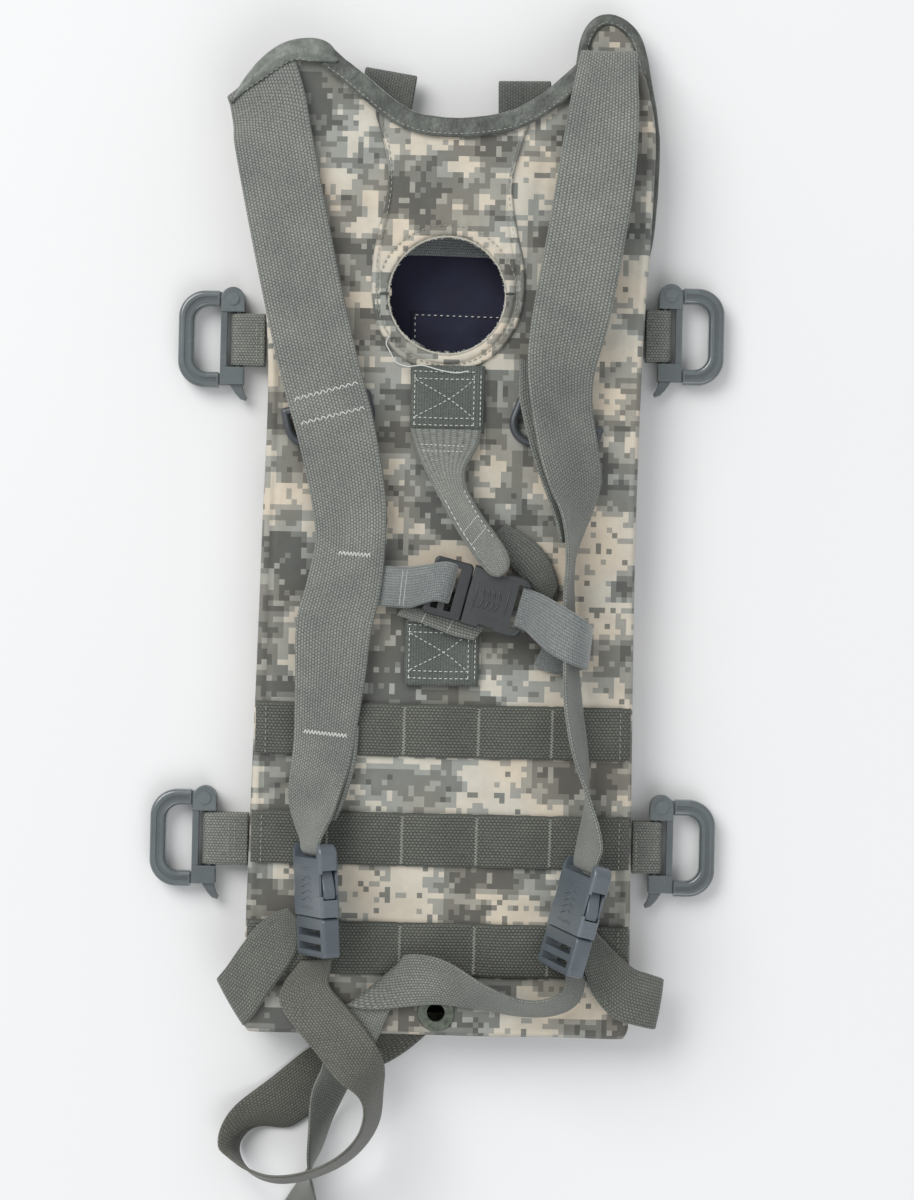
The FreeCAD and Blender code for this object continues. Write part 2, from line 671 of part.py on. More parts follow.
def hook_base():
    """Webbing bar, spine, hinge cheeks and latch cheeks, with its two pins."""
    t, end = HOOK_HALF_THICKNESS, HOOK_HALF_OPENING
    spine = box(SPINE_X, BASE_OUTER_X, -end - 1, end + 1, -t + 0.8, t - 0.8)
    top = box(-BAR_RADIUS - 0.8, BASE_OUTER_X, end, PIVOT_Y, -t, t)
    boss = cylinder(PIVOT_X, PIVOT_Y, -t, t, EYE_RADIUS + 1.1)
    low = box(-BAR_RADIUS - 0.8, BASE_OUTER_X, -BLOCK_END, -end, -t, t)
    body = spine.fuse([top, boss, low]).removeSplitter()
    body = round_edges(body, 1.2, lambda e: abs(abs(e.CenterOfMass.z) - t) < 0.01)
    bar = Part.makeCylinder(BAR_RADIUS, 2 * end + 1, Vector(0, -end - 0.5, 0), Vector(0, 1, 0))
    slot = TONGUE_HALF + SIDE_PLAY
    hinge_slot = box(-9, 16, PIVOT_Y - EYE_RADIUS - SIDE_PLAY, PIVOT_Y + 9, -slot, slot)
    latch_slot = box(-9, 16, -BLOCK_END - 1, -end - 1.6, -slot, slot)
    hinge_bore = cylinder(PIVOT_X, PIVOT_Y, -t - 1, t + 1, HOOK_PIN_RADIUS + 0.02)
    latch_pin = cylinder(LATCH_X, LATCH_Y, -t + 0.3, t - 0.3, LATCH_PIN_RADIUS)
    body = body.fuse(bar).removeSplitter().cut(hinge_slot).cut(latch_slot).cut(hinge_bore)
    body = body.fuse(latch_pin).removeSplitter()
    pin = cylinder(PIVOT_X, PIVOT_Y, -t - PIN_HEAD, t + PIN_HEAD, HOOK_PIN_RADIUS)
    for z0 in (-t - PIN_HEAD, t + 0.02):
        pin = pin.fuse(cylinder(PIVOT_X, PIVOT_Y, z0, z0 + PIN_HEAD - 0.02, HOOK_PIN_RADIUS + 0.9))
    return Part.makeCompound([body, pin.removeSplitter()])


def d_outline(x0, x1, half, corner):
    """A D: straight side at x0, outer side at x1, two round corners."""
    q = corner * (1 - math.sqrt(0.5))
    up = arc((x1 - corner, half), (x1 - q, half - q), (x1, half - corner))
    down = arc((x1, corner - half), (x1 - q, q - half), (x1 - corner, -half))
    return [
        line((x0, -half), (x0, half)),
        line((x0, half), (x1 - corner, half)),
        up,
        line((x1, half - corner), (x1, corner - half)),
        down,
        line((x1 - corner, -half), (x0, -half)),
    ]


def hook_bow():
    """The D-shaped bow, with an eye on the hinge pin and a tongue that the latch holds."""
    t, half = HOOK_HALF_THICKNESS - 0.2, PIVOT_Y + BOW_BAR / 2
    x0 = BASE_OUTER_X + 0.8
    outer = plate(d_outline(x0, BOW_REACH, half, BOW_CORNER), -t, t)
    window = d_outline(x0 - 2, BOW_REACH - BOW_BAR, half - BOW_BAR, BOW_CORNER - BOW_BAR + 1.5)
    bow = outer.cut(plate(window, -t - 1, t + 1))
    bow = round_edges(bow, 1.9,
                      lambda e: abs(abs(e.CenterOfMass.z) - t) < 0.01 and e.BoundBox.XMax > x0 + 0.01)
    groove_out = plate(d_outline(x0 + 1, BOW_REACH - 3.0, half - 3.0, BOW_CORNER - 2.0), t - 0.7, t + 1)
    groove_in = plate(d_outline(x0 - 2, BOW_REACH - 4.7, half - 4.7, BOW_CORNER - 3.4), t - 1.7, t + 2)
    groove = groove_out.cut(groove_in)
    bow = bow.cut(groove).cut(groove.mirror(Vector(0, 0, 0), Vector(0, 0, 1)))
    n = TONGUE_HALF
    arm = box(PIVOT_X, x0 + 0.5, PIVOT_Y - EYE_RADIUS + 1, PIVOT_Y + EYE_RADIUS - 1.4, -n, n)
    eye = cylinder(PIVOT_X, PIVOT_Y, -n, n, EYE_RADIUS)
    tongue = box(BASE_OUTER_X - 4.2, x0 + 0.5, -half + 1.4, -half + BOW_BAR - 0.6, -n, n)
    bow = bow.fuse([arm, eye, tongue]).removeSplitter()
    return bow.cut(cylinder(PIVOT_X, PIVOT_Y, -n - 1, n + 1, HOOK_PIN_RADIUS + RUNNING_FIT))


def hook_latch():
    """The release lever, on its own pin beside the bow's tongue."""
    n = TONGUE_HALF - 0.1
    shape = [(-2.0, 2.2), (2.2, 2.2), (3.6, -0.4), (3.2, -3.6), (0.8, -7.2), (-1.6, -9.8), (-4.2, -10.6),
             (-4.9, -9.0), (-3.5, -7.0), (-2.6, -4.0)]
    lever = polygon([(LATCH_X + x, LATCH_Y + y) for x, y in shape], -n, n)
    lever = round_edges(lever, 0.5, lambda e: abs(abs(e.CenterOfMass.z) - n) < 0.01)
    return lever.cut(cylinder(LATCH_X, LATCH_Y, -n - 1, n + 1, LATCH_PIN_RADIUS + RUNNING_FIT))


def hook_tab(name):
    """Webbing folded round a hook's bar; both layers run to the pouch, the upper ones over its edge."""
    side, gap, y = HOOKS[name]
    place = hook_place(name)
    r0, half = BAR_RADIUS + 0.25, W / 2
    r1 = r0 + WEB
    reach = gap - GUSSET_INSET - 0.1
    wrap = Part.makeCylinder(r1, W, Vector(0, -half, 0), Vector(0, 1, 0))
    legs = box(-reach, 0, -half, half, -r1, r1)
    core = Part.makeCylinder(r0, W + 2, Vector(0, -half - 1, 0), Vector(0, 1, 0))
    between = box(-reach + 3.0, 0, -half - 1, half + 1, -r0, r0)
    tab = wrap.fuse(legs).removeSplitter().cut(core).cut(between)
    tab.Placement = place
    return tab


# ---------------------------------------------------------------- side-release buckles


def buckle_socket(b):
    w, t, length = b.half_width, b.half_thickness, b.socket_length
    body = box(-w, w, 0, length, -t, t)
    body = round_edges(body, 5.0, lambda e: along(e, Vector(0, 0, 1)) and e.CenterOfMass.y > 1)
    body = round_edges(body, 1.7, lambda e: e.BoundBox.YMax > 1 and abs(abs(e.CenterOfMass.z) - t) < 0.01)
    cavity = box(-b.cavity_half, b.cavity_half, -1, b.cavity, -t + b.skin, t - b.skin)
    open_z = b.prong_half_thickness + b.play + 0.3
    windows = box(-w - 1, w + 1, b.catch - b.play, b.prong_length - 1.5, -open_z, open_z)
    slot_half = b.web / 2 + 0.5
    slot_y = length - b.bar - b.slot
    slot = box(-slot_half, slot_half, slot_y, slot_y + b.slot, -t - 1, t + 1)
    body = body.cut(cavity).cut(windows).cut(slot)
    y0 = length - b.bar - 0.2
    for z0, z1 in ((-t - 1, -b.bar / 2), (b.bar / 2, t + 1)):
        body = body.cut(box(-slot_half, slot_half, y0, length + 1, z0, z1))
    recess = box(-w - 1, -w + 2.0, b.catch + 1.5, b.prong_length - 3.0, -t - 1, t + 1)
    return body.cut(recess).cut(recess.mirror(Vector(0, 0, 0), Vector(1, 0, 0)))


def buckle_plug(b):
    w, t = b.half_width - 0.4, b.half_thickness - 0.5
    base = box(-w, w, -b.base_length, -b.play, -t, t)
    base = round_edges(base, 2.4, lambda e: along(e, Vector(0, 0, 1)))
    base = round_edges(base, 1.2, lambda e: abs(abs(e.CenterOfMass.z) - t) < 0.01)
    slot_half = b.web / 2 + 0.5
    for y in (-b.base_length + b.bar, -b.base_length + 2 * b.bar + b.slot):
        base = base.cut(box(-slot_half, slot_half, y, y + b.slot, -t - 1, t + 1))
    guide = box(-3.0, 3.0, -b.play - 1, b.prong_length - 2, -1.6, 1.6)
    guide = round_edges(guide, 1.0, lambda e: e.BoundBox.YMin > b.prong_length - 3)
    return base.fuse(guide).removeSplitter()


def buckle_prong(b, side):
    """A springy arm with a catch that shows in the socket's window."""
    n, x0 = b.prong_half_thickness, b.arm_inner
    x1, tip = x0 + b.arm, b.prong_length
    out = b.half_width - 0.8
    shape = [(x0, 0), (x1, 0), (x1, b.catch), (out, b.catch + 0.2), (out, b.catch + 4.0),
             (b.cavity_half - 1.0, tip - 3.0), (x1 + 0.4, tip), (x0 + 0.4, tip), (x0, tip - 2.0)]
    prong = polygon([(side * x, y) for x, y in shape], -n, n)
    at_face = lambda e: abs(abs(e.CenterOfMass.z) - n) < 0.01
    return round_edges(prong, 0.6, lambda e: at_face(e) and e.BoundBox.YMin > 1)


def placed(shape, place):
    shape = shape.copy()
    shape.Placement = place.multiply(shape.Placement)
    return shape


# ---------------------------------------------------------------- straps and rings


def strap_ring(x, y, z, heading):
    """A D-ring: a round bar bent to a D, its straight side along the strap's width."""
    half, reach, r = RING_WIDTH / 2, RING_REACH, RING_WIRE
    bend = 9.0
    q = bend * (1 - math.sqrt(0.5))
    a, b = Vector(-half, 0, 0), Vector(half, 0, 0)
    path = Part.Wire([
        line((-half, 0), (-half, bend - reach)),
        arc((-half, bend - reach), (-half + q, q - reach), (bend - half, -reach)),
        line((bend - half, -reach), (half - bend, -reach)),
        arc((half - bend, -reach), (half - q, q - reach), (half, bend - reach)),
        line((half, bend - reach), (half, 0)),
    ])
    section = Part.Wire([Part.makeCircle(r, a, Vector(0, 1, 0))])
    bow = path.makePipeShell([section], True, False)
    bar = Part.makeCylinder(r, 2 * half, a, Vector(1, 0, 0))
    ends = [Part.makeSphere(r, a), Part.makeSphere(r, b)]
    ring = bar.fuse(ends + [bow]).removeSplitter()
    return placed(ring, Placement(Vector(x, y, z), Rotation(Vector(0, 0, 1), heading)))


RINGS = {"left": (-58.5, 64.0, 14.0), "right": (53.0, 60.0, -20.0)}
RING_Z = ON_PACK + RING_WIRE + 0.2


def ring_keepers():
    """A short webbing loop round each ring's bar, sewn under the strap."""
    loops = []
    for x, y, heading in RINGS.values():
        r0 = RING_WIRE + 0.15
        r1 = r0 + 0.9
        half = W / 2
        wrap = Part.makeCylinder(r1, W, Vector(-half, 0, 0), Vector(1, 0, 0))
        legs = box(-half, half, 0, 9, r1 - 0.9, r1)
        core = Part.makeCylinder(r0, W + 2, Vector(-half - 1, 0, 0), Vector(1, 0, 0))
        floor = box(-half - 1, half + 1, -9, 9, -r1 - 1, -RING_WIRE - 0.05)
        loop = wrap.fuse(legs).removeSplitter().cut(core).cut(floor)
        place = Placement(Vector(x * SCALE_X, y * SCALE_Y, RING_Z), Rotation(Vector(0, 0, 1), heading))
        loops.append(placed(loop, place))
    return Part.makeCompound(loops)


# ---------------------------------------------------------------- all the pieces


def pieces():
    """Every node's name and shape."""
    made = {
        "back_panel": back_panel(),
        "front_panel": front_panel(),
        "side_gusset": side_gusset(),
        "port_panel": port_panel(),
        "neck_binding": neck_binding(),
        "tube_flap_left": tube_flap_left(),
        "tube_flap_right": tube_flap_right(),
        "tube_flap_binding": tube_flap_binding(),
        "hanger_loops": hanger_loops(),
        "inner_lining": inner_lining(),
        "inner_pocket": inner_pocket(),
        "reservoir_band": reservoir_band(),
        "drain_grommet": drain_grommet(),
        "grommet_washer": grommet_washer(),
        "handle_patches": handle_patches(),
        "carry_handle": Part.makeCompound([ribbon(HANDLE_UPPER), ribbon(HANDLE_LOWER)]),
        "ring_keepers": ring_keepers(),
        "shoulder_strap_left": ribbon(SHOULDER_LEFT),
        "shoulder_strap_right": ribbon(SHOULDER_RIGHT),
        "sternum_strap_left": ribbon(STERNUM_LEFT),
        "sternum_strap_right": Part.makeCompound([ribbon(STERNUM_RIGHT), ribbon(STERNUM_RETURN)]),
        "sternum_loop": ribbon(STERNUM_LOOP),
        "sternum_tail": ribbon(STERNUM_TAIL),
        "anchor_strap_left": Part.makeCompound([ribbon(ANCHOR_LEFT_UPPER), ribbon(ANCHOR_LEFT_LOWER)]),
        "anchor_strap_right": Part.makeCompound([ribbon(ANCHOR_RIGHT_UPPER), ribbon(ANCHOR_RIGHT_LOWER)]),
        "strap_tail_left": ribbon(TAIL_LEFT),
        "strap_tail_right": Part.makeCompound([ribbon(TAIL_RIGHT_UPPER), ribbon(TAIL_RIGHT_LOWER)]),
    }
    for i, level in enumerate(("upper", "middle", "lower")):
        made[f"webbing_row_{level}"] = attachment_row(i)
    for side, (x, y, heading) in RINGS.items():
        made[f"strap_ring_{side}"] = strap_ring(x * SCALE_X, y * SCALE_Y, RING_Z, heading)
    base, bow, latch = hook_base(), hook_bow(), hook_latch()
    for name in HOOKS:
        place = hook_place(name)
        made[f"hook_tab_{name}"] = hook_tab(name)
        made[f"hook_base_{name}"] = placed(base, place)
        made[f"hook_bow_{name}"] = placed(bow, place)
        made[f"hook_latch_{name}"] = placed(latch, place)
    for name, (sizes, _, _, _) in BUCKLES.items():
        place = buckle_place(name)
        made[f"buckle_socket_{name}"] = placed(buckle_socket(sizes), place)
        made[f"buckle_plug_{name}"] = placed(buckle_plug(sizes), place)
        made[f"buckle_prong_{name}_a"] = placed(buckle_prong(sizes, -1), place)
        made[f"buckle_prong_{name}_b"] = placed(buckle_prong(sizes, 1), place)
    return made


def main():
    os.makedirs("parts", exist_ok=True)
    for name, shape in pieces().items():
        for solid in shape.Solids:
            if not solid.isValid() or solid.Volume <= 0:
                raise ValueError(f"{name} has a solid that isn't valid")
        shape.exportStep(f"parts/{name}.step")
    print(len(os.listdir("parts")), "files in parts")


main()
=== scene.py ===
import math
import random

import bmesh
import bpy
import numpy as np
from mathutils import Matrix, Vector, noise


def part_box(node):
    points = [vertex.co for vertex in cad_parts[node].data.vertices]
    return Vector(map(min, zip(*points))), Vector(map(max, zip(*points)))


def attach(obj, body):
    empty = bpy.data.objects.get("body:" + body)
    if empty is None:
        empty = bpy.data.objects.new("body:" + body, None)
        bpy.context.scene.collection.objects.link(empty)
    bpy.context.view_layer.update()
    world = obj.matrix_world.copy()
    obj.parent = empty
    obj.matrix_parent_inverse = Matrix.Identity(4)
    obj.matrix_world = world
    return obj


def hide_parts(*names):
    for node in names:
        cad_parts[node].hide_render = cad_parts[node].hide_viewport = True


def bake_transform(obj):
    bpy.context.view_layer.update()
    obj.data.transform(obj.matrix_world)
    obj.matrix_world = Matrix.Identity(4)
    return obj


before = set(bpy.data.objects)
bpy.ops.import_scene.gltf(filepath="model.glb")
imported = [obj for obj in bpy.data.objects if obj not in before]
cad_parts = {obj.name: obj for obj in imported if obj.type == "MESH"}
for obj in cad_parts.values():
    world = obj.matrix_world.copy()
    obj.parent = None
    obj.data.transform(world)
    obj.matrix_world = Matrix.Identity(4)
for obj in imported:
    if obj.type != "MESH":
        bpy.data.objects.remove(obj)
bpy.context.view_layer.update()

# A flat hydration carrier seen from above. Shapes are worked out in millimetres, in the CAD model's frame,
# and turned into metres where a mesh is made. The routes of the two free tails are in metres.

MM = 0.001
PACK_BODY = "pack"
PACK_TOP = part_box("back_panel")[1].z / MM
BASE_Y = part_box("back_panel")[0].y / MM
ON_PACK = PACK_TOP + 0.3
WEB = 1.5            # thickness of webbing
WEBBING = 25.4       # width of the 1 in webbing


# ---------------------------------------------------------------- camera

def make_camera():
    """Straight above, far enough for little perspective, rolled by the small angle of the picture."""
    distance, frame_height, roll = 1.55, 0.5714, 1.25
    data = bpy.data.cameras.new("camera")
    camera = bpy.data.objects.new("camera", data)
    bpy.context.scene.collection.objects.link(camera)
    data.sensor_fit = "VERTICAL"
    data.sensor_height = 24.0
    data.lens = 24.0 * distance / frame_height
    data.clip_start, data.clip_end = 0.05, 20.0
    camera.location = (0.00586, -0.02845, PACK_TOP * MM + distance)
    camera.rotation_euler = (0.0, 0.0, math.radians(roll))
    bpy.context.scene.camera = camera


# ---------------------------------------------------------------- curves and numbers

def sample(points, t):
    """A smooth value through a list of rows, at row number t (Catmull-Rom)."""
    p = np.asarray(points, float)
    i = int(min(max(math.floor(t), 0), len(p) - 2))
    f = t - i
    b, c = p[i], p[i + 1]
    a = p[i - 1] if i > 0 else 2 * b - c
    d = p[i + 2] if i + 2 < len(p) else 2 * c - b
    bend, turn = 2 * a - 5 * b + 4 * c - d, 3 * b - a - 3 * c + d
    return 0.5 * (2 * b + (c - a) * f + bend * f ** 2 + turn * f ** 3)


def dense(points, per_span=24):
    n = (len(points) - 1) * per_span
    return np.array([sample(points, i / per_span) for i in range(n + 1)])


def run_along(points):
    """Distance along a polyline at each of its points."""
    steps = np.linalg.norm(np.diff(points, axis=0), axis=1)
    return np.concatenate([[0], np.cumsum(steps)])


def even(points, step):
    """Points at even distances along a polyline, ends kept."""
    p = np.asarray(points, float)
    run = run_along(p[:, :3])
    n = max(2, int(round(run[-1] / step)) + 1)
    at = np.linspace(0, run[-1], n)
    return np.stack([np.interp(at, run, p[:, k]) for k in range(p.shape[1])], axis=1)


def spread(points, count):
    """A number of points evenly along a smooth line in the plane."""
    d = dense(points)
    run = run_along(d)
    t = np.linspace(0, 1, count)
    return np.stack([np.interp(t, run / run[-1], d[:, k]) for k in range(2)], axis=1)


def flat_line(points, step):
    """A smooth line in the plane as places with no height, evenly spaced."""
    d = dense(points)
    return even(np.column_stack([d, np.zeros(len(d))]), step)


def round_section(centre, side, up, radius, corners):
    """A ring of points round a place, across its side and up directions."""
    turns = np.linspace(0, 2 * math.pi, corners + 1)[:-1]
    return [centre + (side * math.cos(w) + up * math.sin(w)) * radius for w in turns]


def unit(v):
    v = np.asarray(v, float)
    return v / np.maximum(np.linalg.norm(v, axis=-1, keepdims=True), 1e-9)


def smooth_step(x, low, high):
    t = min(max((x - low) / (high - low), 0.0), 1.0)
    return t * t * (3 - 2 * t)


def wobble(x, y, z, size):
    """Smooth noise of about -1 to 1 with features of a given size."""
    at = Vector((x / size, y / size, z / size))
    return noise.fractal(at, 0.9, 2.0, 2, noise_basis="PERLIN_ORIGINAL")


# ---------------------------------------------------------------- meshes

def new_object(name, verts, faces, uvs=None, recalc=True):
    """A mesh object from points in millimetres; uvs gives one (u, v) in metres per corner of each face."""
    mesh = bpy.data.meshes.new(name)
    mesh.from_pydata([tuple(c * MM for c in v) for v in verts], [], faces)
    if uvs is not None:
        layer = mesh.uv_layers.new(name="cloth")
        layer.data.foreach_set("uv", np.asarray(uvs, np.float32).ravel())
    if recalc:
        edit_mesh(mesh, lambda bm: bmesh.ops.recalc_face_normals(bm, faces=bm.faces))
    mesh.shade_smooth()
    obj = bpy.data.objects.new(name, mesh)
    bpy.context.scene.collection.objects.link(obj)
    return obj


def edit_mesh(mesh, change):
    """Runs one bmesh change on a mesh."""
    bm = bmesh.new()
    bm.from_mesh(mesh)
    change(bm)
    bm.to_mesh(mesh)
    bm.free()


def sheet_points(rows, cols, place):
    """Grids of points and of cloth coordinates, both given by place(i, j)."""
    points, uv = np.zeros((rows, cols, 3)), np.zeros((rows, cols, 2))
    for i in range(rows):
        for j in range(cols):
            points[i, j], uv[i, j] = place(i, j)
    return points, uv


def grid_object(name, points, uv, thickness, keep=None):
    """A closed solid below a sheet, which is given as a grid of points (rows, columns, 3)."""
    rows, cols = points.shape[:2]
    faces, uvs = [], []
    for i in range(rows - 1):
        for j in range(cols - 1):
            if keep is not None and not keep(i, j):
                continue
            corners = [(i, j), (i, j + 1), (i + 1, j + 1), (i + 1, j)]
            faces.append([a * cols + b for a, b in corners])
            uvs += [uv[a, b] for a, b in corners]
    obj = new_object(name, points.reshape(-1, 3), faces, np.array(uvs) * MM, recalc=False)
    def drop_loose(bm):
        bmesh.ops.delete(bm, geom=[v for v in bm.verts if not v.link_faces], context="VERTS")
    edit_mesh(obj.data, drop_loose)
    solid = obj.modifiers.new("thickness", "SOLIDIFY")
    solid.thickness = thickness * MM
    solid.offset = -1.0
    apply_modifiers(obj)
    return obj


def apply_modifiers(obj):
    """Turns an object's modifiers into its own mesh."""
    graph = bpy.context.evaluated_depsgraph_get()
    mesh = bpy.data.meshes.new_from_object(obj.evaluated_get(graph))
    obj.modifiers.clear()
    obj.data = mesh


def tube_object(name, rings, along, loop=False):
    """A closed tube through rings of points (n, m, 3) with u round the ring and v along it."""
    rings = np.asarray(rings, float)
    n, m = rings.shape[:2]
    span = np.linalg.norm(np.roll(rings, -1, axis=1) - rings, axis=2).mean(axis=0)
    u = np.concatenate([[0], np.cumsum(span)])
    faces, uvs = [], []
    for i in range(n if loop else n - 1):
        k = (i + 1) % n
        va, vb = along[i], along[k] if k else along[i] + (along[1] - along[0])
        for j in range(m):
            b = (j + 1) % m
            faces.append([i * m + j, i * m + b, k * m + b, k * m + j])
            uvs += [(u[j], va), (u[j + 1], va), (u[j + 1], vb), (u[j], vb)]
    if not loop:
        for i, order in ((0, range(m - 1, -1, -1)), (n - 1, range(m))):
            faces.append([i * m + j for j in order])
            uvs += [(u[j], along[i]) for j in order]
    return new_object(name, rings.reshape(-1, 3), faces, np.array(uvs) * MM)


# ---------------------------------------------------------------- straps

def strap_section(width, thickness, columns=8):
    """Across a strap: its flat faces and rounded edges, as (across, up) in millimetres."""
    r = thickness / 2
    half = width / 2 - r
    top = [(half - 2 * half * k / columns, r) for k in range(columns + 1)]
    left = [(-half - r * math.cos(a), r * math.sin(a)) for a in (math.radians(50), 0.0, math.radians(-50))]
    bottom = [(-x, -r) for x, _ in top]
    right = [(half + r * math.cos(a), r * math.sin(a)) for a in (math.radians(-50), 0.0, math.radians(50))]
    return top + left + bottom + right


class Strap:
    """A strap through stations of (x, y, z, heading, roll, width), sampled evenly along its length."""

    def __init__(self, stations, thickness=WEB, step=2.0, ripple=0.12, cup=0.0, seed=0.0, smooth=True):
        rows = even(dense(stations) if smooth else stations, step)
        self.cup = cup
        self.centre, self.width = rows[:, :3].copy(), rows[:, 5]
        self.thickness = rows[:, 6] if rows.shape[1] > 6 else np.full(len(rows), thickness)
        h, r = np.radians(rows[:, 3]), np.radians(rows[:, 4])
        self.across = np.stack([np.cos(r) * np.cos(h), np.cos(r) * np.sin(h), np.sin(r)], axis=1)
        ahead = unit(np.gradient(self.centre, axis=0))
        self.up = unit(np.cross(self.across, ahead))
        if self.up[0, 2] < 0:
            self.up = -self.up
        self.along = run_along(self.centre)
        for i, c in enumerate(self.centre):
            self.centre[i] = c + self.up[i] * ripple * wobble(c[0], c[1], seed, 24.0)

    def build(self, name):
        rings = []
        for c, a, u, w, t in zip(self.centre, self.across, self.up, self.width, self.thickness):
            section = strap_section(w, t)
            rings.append([c + a * x + u * (y + self.cup * (2 * x / w) ** 2) for x, y in section])
        return tube_object(name, rings, self.along)

    def at(self, along, across, above=0.05):
        """A point on the strap's face, and the face's direction there; across runs from -1 to 1."""
        pick = lambda rows: np.array([np.interp(along, self.along, rows[:, k]) for k in range(3)])
        w = np.interp(along, self.along, self.width)
        c, a, u = pick(self.centre), pick(self.across), unit(pick(self.up))
        lift = np.interp(along, self.along, self.thickness) / 2 + above + self.cup * across ** 2
        return c + a * (across * w / 2) + u * lift, u

    def nearest(self, x, y):
        """How far along the strap its middle comes nearest to a place."""
        gap = np.hypot(self.centre[:, 0] - x, self.centre[:, 1] - y)
        return float(self.along[int(gap.argmin())])


def lay_strap(name, stations, cloth, *nodes, slot="webbing", crosses=None, **shape):
    """Makes a strap's piece, on the pouch's body unless crosses is given, when it is left with no body and
    its transform baked; returns the strap for its stitches.
    """
    strap = Strap(stations, **shape)
    obj = finish_piece(strap.build(name), None if crosses else PACK_BODY, cloth, *nodes, slot=slot)
    if crosses:
        cross_joint(obj)
    return strap


def cross_joint(obj):
    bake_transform(obj)


# ---------------------------------------------------------------- stitches

class Thread:
    """Sewing thread: a mesh of short raised stitches."""

    def __init__(self, radius):
        self.radius, self.verts, self.faces = radius, [], []

    def stitch(self, a, b, up, radius=None):
        a, b, up = np.asarray(a, float), np.asarray(b, float), unit(up)
        r = radius or self.radius
        ahead = unit(b - a)
        side = unit(np.cross(ahead, up))
        base = len(self.verts)
        self.verts.append(a - up * r * 0.6)
        for t, k, lift in ((0.12, 0.75, 0.1), (0.5, 1.0, 0.45), (0.88, 0.75, 0.1)):
            c = a + (b - a) * t + up * r * lift
            for n in range(6):
                w = math.pi * n / 3
                self.verts.append(c + (side * math.cos(w) + up * math.sin(w)) * r * k)
        self.verts.append(b - up * r * 0.6)
        for n in range(6):
            m = (n + 1) % 6
            self.faces.append([base, base + 1 + m, base + 1 + n])
            for ring in (0, 1):
                k = base + 1 + ring * 6
                self.faces.append([k + n, k + m, k + 6 + m, k + 6 + n])
            self.faces.append([base + 19, base + 13 + n, base + 13 + m])

    def seam(self, place, length, pitch=2.9, fill=0.66):
        """Stitches along place(distance), which gives a point and the cloth's direction there."""
        for k in range(max(1, int(length / pitch))):
            a, up = place(k * pitch)
            b, _ = place(k * pitch + pitch * fill)
            self.stitch(a, b, up)

    def tack(self, place, length, height, pitch):
        """A bar tack: dense zigzags along place(distance, offset)."""
        for k in range(max(2, int(length / pitch))):
            sign = 1 if k % 2 else -1
            a, up = place(k * pitch, -sign * height / 2)
            b, _ = place((k + 1) * pitch, sign * height / 2)
            self.stitch(a, b, up, self.radius * 1.05)

    def build(self, name, body, material):
        return finish_piece(new_object(name, self.verts, self.faces), body, material)


def finish_piece(obj, body, material, *nodes, slot=None):
    """Gives a piece its material and body, and hides the CAD nodes that it stands for."""
    obj.data.materials.clear()
    obj.data.materials.append(material)
    if body:
        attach(obj, body)
    if nodes:
        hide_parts(*nodes)
    return obj


# ---------------------------------------------------------------- materials

